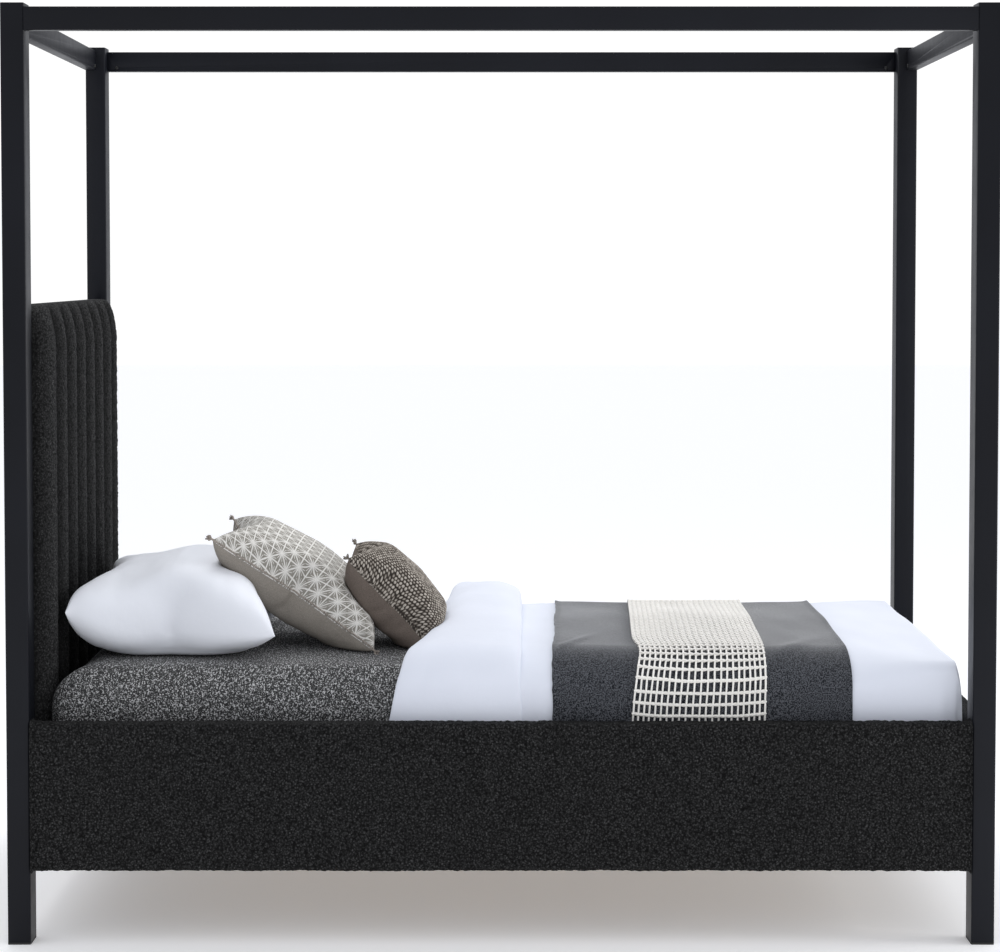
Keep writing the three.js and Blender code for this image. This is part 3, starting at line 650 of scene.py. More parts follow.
def rail_outline(thick, bottom, top, pad, step):
    """The padded rail's section round its board: depth from the outer face, height, and pile,
    which is bare on the inner face."""
    corners = [(thick, top), (0, top), (0, bottom), (thick, bottom)]
    arcs = []
    for index, (depth, height) in enumerate(corners):
        radius = 0.4 * pad if depth else pad
        x, z = abs(depth - radius), height - radius if index < 2 else height + radius
        arc = []
        for degrees in 90 * (index + np.arange(5) / 4):
            angle = math.radians(degrees)
            pile = 0.0 if depth and degrees % 360 < 60 else 1.0
            arc.append((x + radius * math.cos(angle), z + radius * math.sin(angle), pile))
        arcs.append(arc)
    points = []
    for index, arc in enumerate(arcs):
        after = (index + 1) % 4
        bare = corners[index][0] > 0 and corners[after][0] > 0
        run = math.dist(corners[index], corners[after]) - 2 * pad
        count = 3 if bare else max(2, round(run / step))
        points += arc
        for share in np.arange(1, count) / count:
            x, z = (1 - share) * np.array(arc[-1][:2]) + share * np.array(arcs[after][0][:2])
            points.append((x, z, 0.0 if bare else 1.0))
    return np.array(points)


def build_rail(node, axis, seed):
    """A padded bar along one axis, with boucle pile and softly closed ends."""
    pad, step, soft, pile_room = 10 * MM, 3.6 * MM, 6 * MM, 1.5 * MM
    low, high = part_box(node)
    other = 1 - axis
    outside = -1 if abs(low[other]) > abs(high[other]) else 1
    outer_face = low[other] if outside < 0 else high[other]
    outline = rail_outline(high[other] - low[other] + 0.5 * MM, low.z, high.z, pad, step)
    rows, count = round((high[axis] - low[axis]) / step) + 1, len(outline)
    along = np.linspace(low[axis], high[axis], rows)
    near_end = np.maximum(0, soft - np.minimum(along - low[axis], high[axis] - along))
    inset = soft - np.sqrt(np.maximum(0, soft**2 - near_end**2)) + pile_room
    ahead = np.roll(outline[:, :2], -1, axis=0) - np.roll(outline[:, :2], 1, axis=0)
    normal = unit(np.stack([-ahead[:, 1], ahead[:, 0]], axis=1))
    pile = outline[:, 2]
    section = outline[:, :2] - normal * pile[:, None] * inset[:, None, None]

    def spread(lengthwise, across, up):
        """Values along the rail, across it and up as points or directions."""
        made = np.zeros((rows, count, 3))
        made[:, :, axis], made[:, :, other], made[:, :, 2] = lengthwise, across, up
        return made.reshape(-1, 3)

    points = spread(along[:, None], outer_face - outside * section[:, :, 0], section[:, :, 1])
    normals = spread(0, -outside * normal[:, 0], normal[:, 1])
    weight = np.broadcast_to(pile, (rows, count)).ravel()
    points = fuzzy(points, normals, weight, seed)
    points = lift_off(points, normals, weight * 1.2 * MM * waves(points, 0.11, seed + 3))
    name = node.replace("cover", "boucle")
    piece = add_piece(
        name, points, tube_faces(rows, count), "frame", "boucle", weld=0.01 * MM
    )
    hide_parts(node)


build_rail("side_rail_cover_left", 0, 11)
build_rail("side_rail_cover_right", 0, 12)
build_rail("foot_rail_cover", 1, 13)


# ---- Channelled headboard ----
def rounded(share):
    """How far a quarter circle has fallen, from 0 to 1, at a share of its radius."""
    return 1 - np.sqrt(1 - share**2 * 0.9999)


def keep_values(piece, name, values):
    """Stores a number for each point on the mesh, for its finish to read."""
    attribute = piece.data.attributes.new(name, "FLOAT", "POINT")
    attribute.data.foreach_set("value", values.astype(np.float32).ravel())


def build_headboard():
    """Eight upright rolls that turn back into the top and fall back towards the two sides."""
    low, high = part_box("headboard_pad")
    channels, step, half = 8, 4 * MM, high.y
    groove_depth, groove_end = 17 * MM, 30 * MM
    roll_height, roll_depth = 100 * MM, 30 * MM
    edge_width, edge_fall = 121 * MM, 30 * MM
    corner, lip, pile_room = 20 * MM, 12 * MM, 1.5 * MM
    y = np.linspace(-half, half, round(2 * half / step) + 1)
    lip_levels = high.z - lip * (1 - np.sin(np.linspace(0, np.pi / 2, 7)))
    z = np.concatenate([np.arange(low.z, high.z - lip, step), lip_levels])[:, None]
    rows, count = len(z), len(y)
    below_top = high.z - z
    setback = roll_depth * rounded(np.clip(1 - below_top / roll_height, 0, 1))
    wave = np.abs(np.sin(np.pi * channels * (y + half) / (2 * half)))
    from_edge = np.clip(1 - (half - np.abs(y)) / edge_width, 0, 1)
    outer = (np.abs(y) > half * (1 - 1 / channels)) & (from_edge > 0.5)
    groove = groove_depth * (1 - wave**0.8) * np.where(outer, 0.35, 1)
    groove = groove * np.clip(below_top / groove_end, 0, 1) ** 0.6
    x = high.x - 0.5 * MM - setback - groove - edge_fall * rounded(from_edge)
    x = np.maximum(x, low.x + 14 * MM)
    inset = corner * rounded(np.clip(1 - below_top / corner, 0, 1)) + pile_room
    sheet = np.stack(np.broadcast_arrays(x, y * (half - inset) / half, z), axis=-1)
    normals = np.cross(np.gradient(sheet, axis=1), np.gradient(sheet, axis=0))
    sheet = fuzzy(sheet.reshape(-1, 3), unit(normals.reshape(-1, 3)), 1.0, 21)
    sheet = sheet.reshape(rows, count, 3)
    # The side walls run back in steps, and the cloth lies flat over the back of the board.
    back = low.x - 0.2 * MM

    def wall(edge, share):
        return np.column_stack([edge[:, 0] + (back - edge[:, 0]) * share, edge[:, 1:]])

    shares = (0.33, 0.66, 1.0)
    walls = [wall(sheet[:, -1], share) for share in shares]
    walls += [wall(sheet[:, 0], share) for share in shares[::-1]]
    points = np.concatenate([sheet, np.stack(walls, axis=1)], axis=1)
    ring = points.shape[1]
    piece = add_piece(
        "headboard_channels", points.reshape(-1, 3), tube_faces(rows, ring), "frame", "boucle",
        LIGHTER_CHANNEL_BOUCLE,
    )
    # Painted shade for the channel boucle: 0.4 over the side walls and back, and close to 1 in the
    # deepest grooves.
    painted_groove_shade = np.full((rows, ring), 0.4)
    painted_groove_shade[:, :count] = np.clip(groove / groove_depth, 0, 1) ** 0.42 * 0.97
    keep_values(piece, "painted_groove_shade", painted_groove_shade)
    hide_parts("headboard_pad")


build_headboard()


# ---- Mattress ----
MATTRESS_LOW, MATTRESS_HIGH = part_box("mattress")
TOP = MATTRESS_HIGH.z
HALF = MATTRESS_HIGH.y


def build_mattress():
    """A knit-covered mattress: rounded in plan and section, with a faint crown and soft dents."""
    low, high = MATTRESS_LOW, MATTRESS_HIGH
    middle = (low + high) / 2
    half_x, half_y = (high.x - low.x) / 2, (high.y - low.y) / 2
    plan_radius, top_radius, base_radius = 52 * MM, 88 * MM, 28 * MM
    edge = []
    for k in range(9):
        a = k / 8 * math.pi / 2
        edge.append((base_radius * (1 - math.sin(a)), low.z + base_radius * (1 - math.cos(a))))
    for k in range(1, 12):
        z = low.z + base_radius + k / 12 * (high.z - low.z - base_radius - top_radius)
        edge.append((0.0, z))
    for k in range(17):
        a = k / 16 * math.pi / 2
        edge.append((top_radius * (1 - math.cos(a)), high.z - top_radius * (1 - math.sin(a))))
    for k in range(1, 18):
        edge.append((top_radius + k * 22 * MM, high.z))

    def ring(inset, z):
        hx, hy = half_x - inset, half_y - inset
        radius = max(plan_radius - inset, 12 * MM)
        points = []
        for sx, sy, start in ((1, 1, 0), (-1, 1, 90), (-1, -1, 180), (1, -1, 270)):
            for k in range(13):
                a = math.radians(start + 90 * k / 12)
                cx, cy = sx * (hx - radius), sy * (hy - radius)
                points.append((cx + radius * math.cos(a), cy + radius * math.sin(a)))
            if sx * sy > 0:
                span = [(-sx * (hx - radius) - points[-1][0]) * t / 40 for t in range(1, 40)]
                points += [(points[-1][0] + s, points[-1][1]) for s in span]
            else:
                span = [(-sy * (hy - radius) - points[-1][1]) * t / 20 for t in range(1, 20)]
                points += [(points[-1][0], points[-1][1] + s) for s in span]
        return np.array([(x + middle.x, y + middle.y, z) for x, y in points])

    rings = [ring(inset, z) for inset, z in edge]
    count = len(rings[0])
    points = np.concatenate(rings)
    upper = np.clip((points[:, 2] - high.z + top_radius) / top_radius, 0, 1)
    points[:, 2] += upper * (1.5 * MM * waves(points, 0.16, 31) - 2 * MM)
    beside_headboard = smooth_step((np.abs(points[:, 1]) - 0.33) / 0.09)
    points[:, 0] -= 14 * MM * beside_headboard * (points[:, 0] < -0.6)
    wall = (1 - upper) * 1.5 * MM * waves(points, 0.12, 32)
    points[:, 1] += wall * np.sign(points[:, 1])
    piece = add_piece(
        "mattress_body", points, tube_faces(len(rings), count), "mattress", "mattress_knit",
        weld=0.01 * MM,
    )
    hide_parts("mattress")


build_mattress()


# ---- The covers' common surface ----
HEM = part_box("duvet")[0].z
FOOT_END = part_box("duvet")[1].x
COVER_HALF = HALF + 8.4 * MM


def section(half, flat, top, level, bottom):
    """Half of a cover's cross-section, from the middle of the bed over an elliptic shoulder to the
    hem: even steps of (Y, Z) and of the outward direction, and its length."""
    turn = np.linspace(0, np.pi / 2, 200)
    y = np.concatenate([[0], flat + (half - flat) * np.sin(turn), [half]])
    z = np.concatenate([[top], level + (top - level) * np.cos(turn), [bottom]])
    length = np.append(0, np.cumsum(np.hypot(np.diff(y), np.diff(z))))
    even = np.linspace(0, length[-1], 300)
    y, z = np.interp(even, length, y), np.interp(even, length, z)
    dy, dz = np.gradient(y), np.gradient(z)
    size = np.hypot(dy, dz)
    return np.stack([y, z, -dz / size, dy / size], axis=1), length[-1]


SHARE = np.linspace(0, 1, 300)
SOFT, REACH = section(COVER_HALF, 0.370, TOP + 30 * MM, TOP - 42 * MM, HEM)
CRISP, _ = section(COVER_HALF, 0.472, TOP + 17 * MM, TOP - 8 * MM, HEM)
FULL, _ = section(COVER_HALF, 0.430, TOP + 38 * MM, TOP - 34 * MM, HEM)
BARE, _ = section(HALF + 1 * MM, HALF - 86 * MM, TOP + 1 * MM, TOP - 88 * MM, HEM)


def ripple(x, t):
    """Long soft folds that the covers share, and that die out where they hang at the sides."""
    p = columns(x, np.asarray(t) * REACH, 0.0)
    broad = 4.0 * MM * waves(p * [1, 0.5, 1], 0.16, 41)
    fine = 1.2 * MM * waves(p * [1, 0.35, 1], 0.05, 42)
    hang = np.clip((REACH - 0.02 - np.abs(p[:, 1])) / 0.16, 0.08, 1)
    beside_fold = np.exp(-(((p[:, 0] - 0.07) / 0.05) ** 2))
    pleats = 1.6 * MM * beside_fold * waves(p * [1, 0.07, 1], 0.011, 43)
    return (broad + fine) * hang + pleats


def over(x, t, lift, soft=SOFT, crisp=CRISP):
    """Points over the bed: t runs from -1 at the left hem to 1 at the right hem, and lift is the
    height off the surface. Towards the foot the shoulders are crisper. The right side is lower."""
    x, t, lift = (np.asarray(v, float).ravel() for v in np.broadcast_arrays(x, t, lift))
    foot = smooth_step((x - 0.72) / 0.20)[:, None]
    at = np.abs(t)
    row = np.stack([np.interp(at, SHARE, soft[:, k]) for k in range(4)], axis=1)
    end = np.stack([np.interp(at, SHARE, crisp[:, k]) for k in range(4)], axis=1)
    row = row * (1 - foot) + end * foot
    y = np.sign(t) * (row[:, 0] + lift * row[:, 2])
    z = row[:, 1] + lift * row[:, 3]
    lower = 11 * MM * smooth_step(y / 0.36) * (1 - foot[:, 0])
    z = z - lower * np.clip((z - HEM) / 0.15, 0, 1)
    return np.stack([x, y, z], axis=1)


def closed_sheet(upper, lower):
    """Points and faces of a sheet with an upper and a lower side and rims."""
    rows, count = upper.shape[:2]
    size = rows * count
    points = np.concatenate([upper.reshape(-1, 3), lower.reshape(-1, 3)])
    faces = grid_faces(rows, count)
    faces += [face[::-1] for face in grid_faces(rows, count, size)]
    rim = rim_of(rows, count)
    faces += [[b, a, a + size, b + size] for a, b in zip(rim, rim[1:] + rim[:1])]
    return points, faces


def cover_shell(x, t, inner, outer):
    """The upper and lower side of a cover between two lifts."""
    x, t = np.broadcast_arrays(x, t)
    wave = ripple(x, t).reshape(x.shape)
    upper = over(x, t, wave + outer).reshape(*x.shape, 3)
    lower = over(x, t, wave + inner).reshape(*x.shape, 3)
    return upper, lower


# ---- Duvet ----
def end_face(last, out, rows, bulge):
    """Rows that carry a cover's last row down to the hem while it moves outwards."""
    made = []
    for k in range(1, rows + 1):
        turn = k / rows * math.pi / 2
        row = last.copy()
        row[:, 2] = HEM + (last[:, 2] - HEM) * (1 - (k / rows) ** bulge)
        row[:, 0] += out * math.sin(turn) ** 0.6
        made.append(row)
    return np.array(made)


def build_duvet():
    """The covered lower bed. Its foot end turns down behind the foot rail with a tucked corner."""
    start = FOOT_END - 0.96
    face_top = FOOT_END - 21 * MM
    xs = np.linspace(start, face_top, 110)[:, None]
    t = np.linspace(-1, 1, 240)[None, :]
    upper, lower = cover_shell(xs, t, -7.5 * MM, 0.0)
    upper = np.concatenate([upper, end_face(upper[-1], 20 * MM, 30, 1.5)])
    lower = np.concatenate([lower, end_face(lower[-1], 13 * MM, 30, 1.5)])
    for side in (upper, lower):
        low = np.clip((TOP - side[:, :, 2]) / 0.09, 0, 1)
        tuck = np.clip((side[:, :, 0] - face_top + 14 * MM) / (38 * MM), 0, 1) ** 1.4 * low
        side[:, :, 1] *= 1 - 0.034 * tuck
        pleat = np.exp(-(((side[:, :, 0] - face_top + 12 * MM) / (6 * MM)) ** 2)) * low
        side[:, :, 1] *= 1 - 0.010 * pleat
    face = waves(upper.reshape(-1, 3), 0.10, 45).reshape(upper.shape[:2])
    at_end = smooth_step((upper[:, :, 0] - face_top) / (10 * MM))
    upper[:, :, 0] += 2.0 * MM * (face - 1) * at_end
    points, faces = closed_sheet(upper, lower)
    piece = add_piece("duvet_body", points, faces, "mattress", "white_cotton", weld=0.3 * MM)
    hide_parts("duvet")


def build_fold():
    """The upper end of the duvet, turned back on itself in a deep soft roll."""
    count, around = 200, 60
    t = np.linspace(-1, 1, count) * (1 - 6 * MM / REACH)
    outer_row = over(np.full(count, 0.1), t, 0, FULL)
    across_bed = outer_row[:, 1] / COVER_HALF
    height = outer_row[:, 2]
    left_of = [-1.0, -0.97, -0.85, -0.70, -0.40, 0.0, 0.35, 0.92, 1.0]
    crease_at = [-214, -208, -190, -174, -154, -136, -136, -122, -118]
    crease = np.interp(across_bed, left_of, crease_at) * MM
    near_drop = np.clip((TOP - height) / 0.13, 0, 1)
    crease -= np.where(across_bed < 0, 24, 4) * MM * near_drop
    edge = np.interp(across_bed, [-1, -0.6, 1], [42, 46, 51]) * MM
    edge += 2.5 * MM * waves(columns(t * REACH, 0.0, 0.0), 0.10, 51)
    lift_of = [-1, -0.85, -0.7, -0.4, 0, 0.35, 0.9, 1]
    lift = np.interp(across_bed, lift_of, [8, 12, 17, 24, 31, 40, 42, 16])
    hanging = smooth_step((TOP - 6 * MM - height) / (80 * MM))
    lift = (lift * (1 - hanging) + 7.5 * hanging) * MM
    turn = np.linspace(0, 2 * np.pi, around, endpoint=False)[None, :]
    cos, sin = np.cos(turn), np.sin(turn)
    half_width = ((edge - crease) / 2)[:, None]
    px = ((edge + crease) / 2)[:, None] + half_width * np.sign(cos) * np.abs(cos) ** 0.42
    lean = 0.5 + 0.5 * np.sign(sin) * np.abs(sin) ** 0.62
    across = (px - crease[:, None]) / (2 * half_width)
    dome = 0.80 + 0.20 * np.sin(np.pi * np.clip(across, 0, 1) ** 0.9)
    grid_t = np.broadcast_to(t[:, None], px.shape)
    place = columns(px, grid_t * REACH, 0.0)
    pulled = columns(px - 0.5 * grid_t * REACH, grid_t * REACH, 0.0)
    wrinkle = 3.0 * MM * waves(place * [1.0, 0.5, 1], 0.13, 52)
    wrinkle += 3.2 * MM * waves(pulled * [1.0, 0.22, 1], 0.045, 53)
    wrinkle = wrinkle.reshape(px.shape) * (1 - 0.65 * hanging[:, None])
    outside = over(px, grid_t, lift[:, None] * dome + wrinkle, FULL).reshape(*px.shape, 3)
    inside = over(px, grid_t, 0, BARE, BARE).reshape(*px.shape, 3)
    blend = np.broadcast_to(lean, px.shape)[..., None]
    points = (inside * (1 - blend) + outside * blend).reshape(-1, 3)
    piece = add_piece(
        "duvet_fold", points, tube_faces(count, around), "mattress", "white_cotton",
        weld=0.01 * MM,
    )
    return piece


build_duvet()
fold = build_fold()


# ---- Blanket and throw ----
def build_blanket():
    """A felt strip across the bed, a little askew, with a thick hem and two soft creases."""
    rows = 140
    t = np.linspace(-1, 1, 250)[None, :] * (1 - 8 * MM / REACH)
    near, far = np.array([106, 730]) * MM, np.array([136, 749]) * MM
    cross = np.clip(t * 0.6 + 0.5, 0, 1)
    wobble = columns(t * REACH, 0.0, 0.0)
    left = near[0] + (far[0] - near[0]) * cross + 3 * MM * waves(wobble, 0.22, 61)[None, :]
    left = left + 1.2 * MM * waves(wobble, 0.011, 63)[None, :]
    right = near[1] + (far[1] - near[1]) * cross + 3 * MM * waves(wobble, 0.3, 62)[None, :]
    x = left + (right - left) * np.linspace(0, 1, rows)[:, None]
    upper, lower = cover_shell(x, t, 0.6 * MM, 4.4 * MM)
    ends = np.minimum(np.arange(rows), np.arange(rows)[::-1])[:, None]
    hem = 2.4 * MM * np.exp(-((ends / 1.6) ** 2))
    y, across = upper[:, :, 1], upper[:, :, 0]
    crease = np.exp(-(((across - 0.60 - 0.5 * (y + 0.42)) / 0.028) ** 2))
    crease = crease * np.exp(-(((y + 0.40) / 0.10) ** 2))
    pucker = ((across - 0.17 - 0.4 * (y + 0.3)) / 0.014) ** 2 + ((y + 0.34) / 0.09) ** 2
    pucker = np.exp(-pucker)
    lifted = 4 * MM * crease + 3.5 * MM * pucker
    upper[:, :, 2] += hem + lifted
    lower[:, :, 2] += lifted
    points, faces = closed_sheet(upper, lower)
    piece = add_piece("felt_blanket", points, faces, "mattress", "blanket_felt")
    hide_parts("blanket")


def build_throw():
    """An open net: single warp yarns across the bed and twisted pairs of weft yarns along it."""
    reach = REACH - 14 * MM
    warps, weft_pitch = 23, 23.8 * MM

    def laid(u, s, lift):
        """u runs from 0 to 1 across the throw, and s in metres over the bed."""
        share = s / (2 * reach) + 0.5
        waist = np.exp(-(((s + 0.43) / 0.09) ** 2))
        left = (272 + 47 * share + 14 * waist) * MM
        right = (547 + 37 * share) * MM
        x = left + (right - left) * (u - 0.02 * np.sin(2 * np.pi * u))
        bow = 7 * MM * (2 * u - 1) ** 2 * smooth_step((-s - 0.35) / 0.15)
        return over(x, (s + bow) / REACH, ripple(x, s / REACH) + lift)

    warp_paths = []
    for i in range(warps):
        s = np.linspace(-reach - 8 * MM, reach + 8 * MM, 300)
        drift = 0.0022 * waves(columns(s, i * 0.37, 0.0), 0.03, 71)
        phase = np.pi * s / weft_pitch + np.pi * i
        warp_paths.append(laid(i / (warps - 1) + drift, s, 7.6 * MM + 0.9 * MM * np.cos(phase)))
    points, faces = tubes(warp_paths, 2.2 * MM, 6)
    weft_paths = []
    for k in range(int(2 * reach / weft_pitch) + 1):
        u = np.linspace(-0.010, 1.010, 200)
        sag = 1.2 * MM * waves(columns(u, k * 0.61, 0.0), 0.2, 72)
        for strand in (0, 1):
            twist = np.pi * u * (warps - 1) + np.pi * strand
            s = -reach + k * weft_pitch + sag + 1.5 * MM * np.sin(twist)
            weft_paths.append(laid(u, s, 8.4 * MM + 2.0 * MM * np.cos(twist)))
    weft_points, weft_faces = tubes(weft_paths, 2.1 * MM, 6)
    faces += [[v + len(points) for v in face] for face in weft_faces]
    points = np.concatenate([points, weft_points])
    piece = add_piece("open_throw", points, faces, "mattress", "throw_knit")
    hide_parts("throw")


build_blanket()
build_throw()


# ---- Pillow and cushions ----
REST = TOP + 0.8 * MM  # the lowest point of what lies on the mattress


def stuffed_panel(half_x, half_y, pull_in, crown, spacing):
    """Two flat panels sewn along their edges, slightly puffed: points, faces, seam loop and the
    side of each point."""
    nx, ny = round(2 * half_x / spacing), round(2 * half_y / spacing)
    u = np.linspace(-1, 1, nx + 1)[:, None]
    v = np.linspace(-1, 1, ny + 1)[None, :]
    x = half_x * u * (1 - pull_in * (1 - v**2) * u**2)
    y = half_y * v * (1 - pull_in * (1 - u**2) * v**2)
    z = crown * np.sqrt(np.clip((1 - u**4) * (1 - v**4), 0, 1))
    top = columns(x, y, z)
    total = len(top)
    inner = np.zeros((nx + 1, ny + 1), bool)
    inner[1:-1, 1:-1] = True
    inner = inner.ravel()
    index_bottom = np.arange(total)
    index_bottom[inner] = total + np.arange(inner.sum())
    points = np.concatenate([top, (top * [1, 1, -1])[inner]])
    quads = grid_faces(nx + 1, ny + 1)
    faces = [face[::-1] for face in quads] + [index_bottom[face].tolist() for face in quads]
    side = np.where(np.arange(len(points)) < total, 1.0, -1.0)
    return points, faces, rim_of(nx + 1, ny + 1), side


def puff(points, faces, pressure, frames, bend):
    """Blows the sewn panels up with a short cloth simulation and gives the points back."""
    mesh = bpy.data.meshes.new("sim")
    mesh.from_pydata(points.tolist(), [], faces)
    body = bpy.data.objects.new("sim", mesh)
    scene.collection.objects.link(body)
    cloth = body.modifiers.new("cloth", "CLOTH")
    settings = {
        "quality": 5,
        "mass": 0.3,
        "tension_stiffness": 15,
        "compression_stiffness": 15,
        "shear_stiffness": 6,
        "bending_stiffness": bend,
        "use_pressure": True,
        "uniform_pressure_force": pressure,
    }
    for key, value in settings.items():
        setattr(cloth.settings, key, value)
    cloth.settings.effector_weights.gravity = 0
    cloth.collision_settings.use_collision = False
    cloth.point_cache.frame_start = 1
    cloth.point_cache.frame_end = frames
    for number in range(1, frames + 1):
        scene.frame_set(number)
    graph = bpy.context.evaluated_depsgraph_get()
    result = body.evaluated_get(graph)
    moved = np.zeros(len(mesh.vertices) * 3)
    result.data.vertices.foreach_get("co", moved)
    bpy.data.objects.remove(body)
    bpy.data.meshes.remove(mesh)
    scene.frame_set(1)
    return moved.reshape(-1, 3)


def stuffed(half_x, half_y, crown, spacing, pressure, frames, bend=0.5):
    """A stuffed cushion in its own frame, its seam at height 0, with its faces, its seam loop
    and its flat panel coordinates."""
    pull_in = 0.03
    start = 0.35 * crown
    flat, faces, seam, side = stuffed_panel(half_x, half_y, pull_in, start, spacing)
    panel = np.column_stack([flat[:, :2], side])
    panel[seam, 2] = 1
    points = puff(flat, faces, pressure, frames, bend)
    return points, faces, seam, panel


def cloth_coordinates(local, panel, half_x, half_y, crown):
    """Distances along the cloth from the middle of a stuffed cushion, both ways, and its side:
    the crown takes up cloth, so they are a little longer than straight ones."""
    sunk = 0.9 * (crown - np.abs(local[:, 2]))
    u = local[:, 0] * (1 + sunk / half_x)
    v = local[:, 1] * (1 + sunk / half_y)
    return np.stack([u, v, panel[:, 2]], axis=1)


def keep_panel(piece, panel):
    """Stores the flat coordinates on the mesh for the printed or woven pattern."""
    attribute = piece.data.attributes.new("panel", "FLOAT_VECTOR", "POINT")
    attribute.data.foreach_set("vector", panel.astype(np.float32).ravel())


def tilted(points, tilt, centre):
    """Turned about Y so that the +X side sinks, then placed."""
    c, s = math.cos(tilt), math.sin(tilt)
    x = points[:, 0] * c + points[:, 2] * s
    z = -points[:, 0] * s + points[:, 2] * c
    return np.stack([x, points[:, 1], z], axis=1) + np.array(centre)


def settle(points):
    """Flattens what would sink into the mattress, with a soft turn at its edge."""
    soft = 14 * MM
    height = points[:, 2] - REST
    depth = np.minimum(height / soft - 1, 0)
    pressed = soft * np.exp(depth) * np.clip(1 + depth, 0, 1)
    points[:, 2] = REST + np.where(depth < 0, pressed, height)
    return points


def pushed_clear(points, blocker, direction):
    """Moves points that lie inside the blocker, or touch it, out of it along one direction."""
    gap, reach = 1.5 * MM, 0.12
    mesh = blocker.data
    tree = BVHTree.FromPolygons(
        [v.co.copy() for v in mesh.vertices], [tuple(p.vertices) for p in mesh.polygons]
    )
    way = Vector(direction).normalized()
    moved = points.copy()
    for i, point in enumerate(points):
        start = Vector(point)
        nearest, normal, _, distance = tree.find_nearest(start, reach)
        if nearest is None:
            continue
        if (start - nearest).dot(normal) < 0:
            hit = tree.ray_cast(start, way)[0]
            if hit is not None:
                moved[i] = np.array(hit + way * gap)
        elif distance < gap:
            moved[i] = np.array(nearest + normal * gap)
    return moved


def smooth_points(points, faces, rounds, keep=()):
    """Averages each point with its neighbours, apart from those to keep."""
    edges = {tuple(sorted(edge)) for face in faces for edge in zip(face, face[1:] + face[:1])}
    pairs = np.array(sorted(edges))
    degree = np.bincount(pairs.ravel(), minlength=len(points))[:, None]
    keep = list(keep)
    for _ in range(rounds):
        total = np.zeros_like(points)
        np.add.at(total, pairs[:, 0], points[pairs[:, 1]])
        np.add.at(total, pairs[:, 1], points[pairs[:, 0]])
        blended = 0.5 * points + 0.5 * total / degree
        blended[keep] = points[keep]
        points = blended
    return points


def subdivided(piece, levels=1):
    modifier = piece.modifiers.new("smooth", "SUBSURF")
    modifier.levels = modifier.render_levels = levels
    return piece


def fit(points, half_x, half_y, above, below, fullness):
    """Scales a stuffed cushion to its real half sizes and crowns. A lower fullness is rounder."""
    out = points.copy()
    out[:, 0] *= half_x / np.abs(points[:, 0]).max()
    out[:, 1] *= half_y / np.abs(points[:, 1]).max()
    height = points[:, 2]
    up = above * np.clip(height / height.max(), 0, 1) ** fullness
    down = below * np.clip(height / height.min(), 0, 1) ** fullness
    out[:, 2] = up - down
    return out


def straightened(points, panel, seam, half_y):
    """Evens out the two seams across the ends, which the stuffing pulls in between the corners."""
    out = points.copy()
    end = np.abs(panel[:, 1]).max()
    on_seam = np.zeros(len(points), bool)
    on_seam[seam] = True
    for side in (-1, 1):
        edge = points[on_seam & (panel[:, 1] * side > 0.999 * end)]
        edge = edge[np.argsort(edge[:, 0])]
        pulled = np.interp(points[:, 0], edge[:, 0], np.abs(edge[:, 1]))
        own = points[:, 1] * side > 0
        share = np.clip(np.abs(points[:, 1]) / pulled, 0, 1.2) ** 2
        wanted = half_y * (1 - 0.03 * np.abs(points[:, 0] / edge[-1, 0]) ** 3)
        moved = points[:, 1] * (1 + (wanted / pulled - 1) * share)
        out[own, 1] = moved[own]
    return out


def refined(piece):
    """Applies a subdivision, and gives the points, panel coordinates and normals back."""
    subdivided(piece, 2)
    graph = bpy.context.evaluated_depsgraph_get()
    mesh = bpy.data.meshes.new_from_object(piece.evaluated_get(graph))
    piece.modifiers.clear()
    piece.data = mesh
    points, panel, normal = (np.zeros(len(mesh.vertices) * 3, np.float32) for _ in range(3))
    mesh.vertices.foreach_get("co", points)
    mesh.attributes["panel"].data.foreach_get("vector", panel)
    mesh.vertex_normals.foreach_get("vector", normal)
    return points.reshape(-1, 3), panel.reshape(-1, 3), normal.reshape(-1, 3)


def knotted(piece, pitch, raise_by):
    """Raises staggered round knots over the front of a cushion."""
    points, panel, normal = refined(piece)
    b = panel[:, 1] / (pitch * 0.9)
    row = np.floor(b)
    across = panel[:, 0] / pitch + 0.5 * (row % 2)
    cell = np.stack([np.floor(across), row, 0 * row], axis=1).astype(np.int64)
    y = b - row - 0.5 + 0.2 * (hashed(cell, 87) - 0.5)
    slant = 0.14 * (2 * (row % 2) - 1)
    x = across - np.floor(across) - 0.5 + 0.125 * (hashed(cell, 85) - 0.5) + slant * y
    knot = np.clip(1 - (2 * np.abs(x)) ** 2.2 * 0.85 - (2 * np.abs(y)) ** 2.2 * 0.85, 0, 1)
    knot = np.clip(knot * (0.70 + 0.55 * hashed(cell, 86)), 0, 1)
    front = np.clip(panel[:, 2], 0, 1)
    points = lift_off(points, normal, raise_by * np.sqrt(knot) * front)
    piece.data.vertices.foreach_set("co", points.astype(np.float32).ravel())
    keep_values(piece, "knot", knot)


def cord_along(name, points, seam, finish, body, slot):
    """A two-ply twisted cord that covers a seam."""
    radius, pitch, spacing = 2.0 * MM, 8 * MM, 1.6 * MM
    closed = points[seam + seam[:1]]
    step = np.linalg.norm(np.diff(closed, axis=0), axis=1)
    length = np.concatenate([[0], np.cumsum(step)])
    at = np.linspace(0, length[-1], int(length[-1] / spacing))
    path = np.stack([np.interp(at, length, closed[:, k]) for k in range(3)], axis=1)
    along = unit(np.gradient(path, axis=0))
    side = unit(np.cross(along, [0.1, 0.2, 1.0]))
    up = np.cross(along, side)
    paths = []
    for ply in (0, np.pi):
        angle = (2 * np.pi * at / pitch + ply)[:, None]
        paths.append(path + radius * 0.55 * (side * np.cos(angle) + up * np.sin(angle)))
    tube_points, faces = tubes(paths, radius * 0.62, 6)
    add_piece(name, tube_points, faces, body, slot, finish)


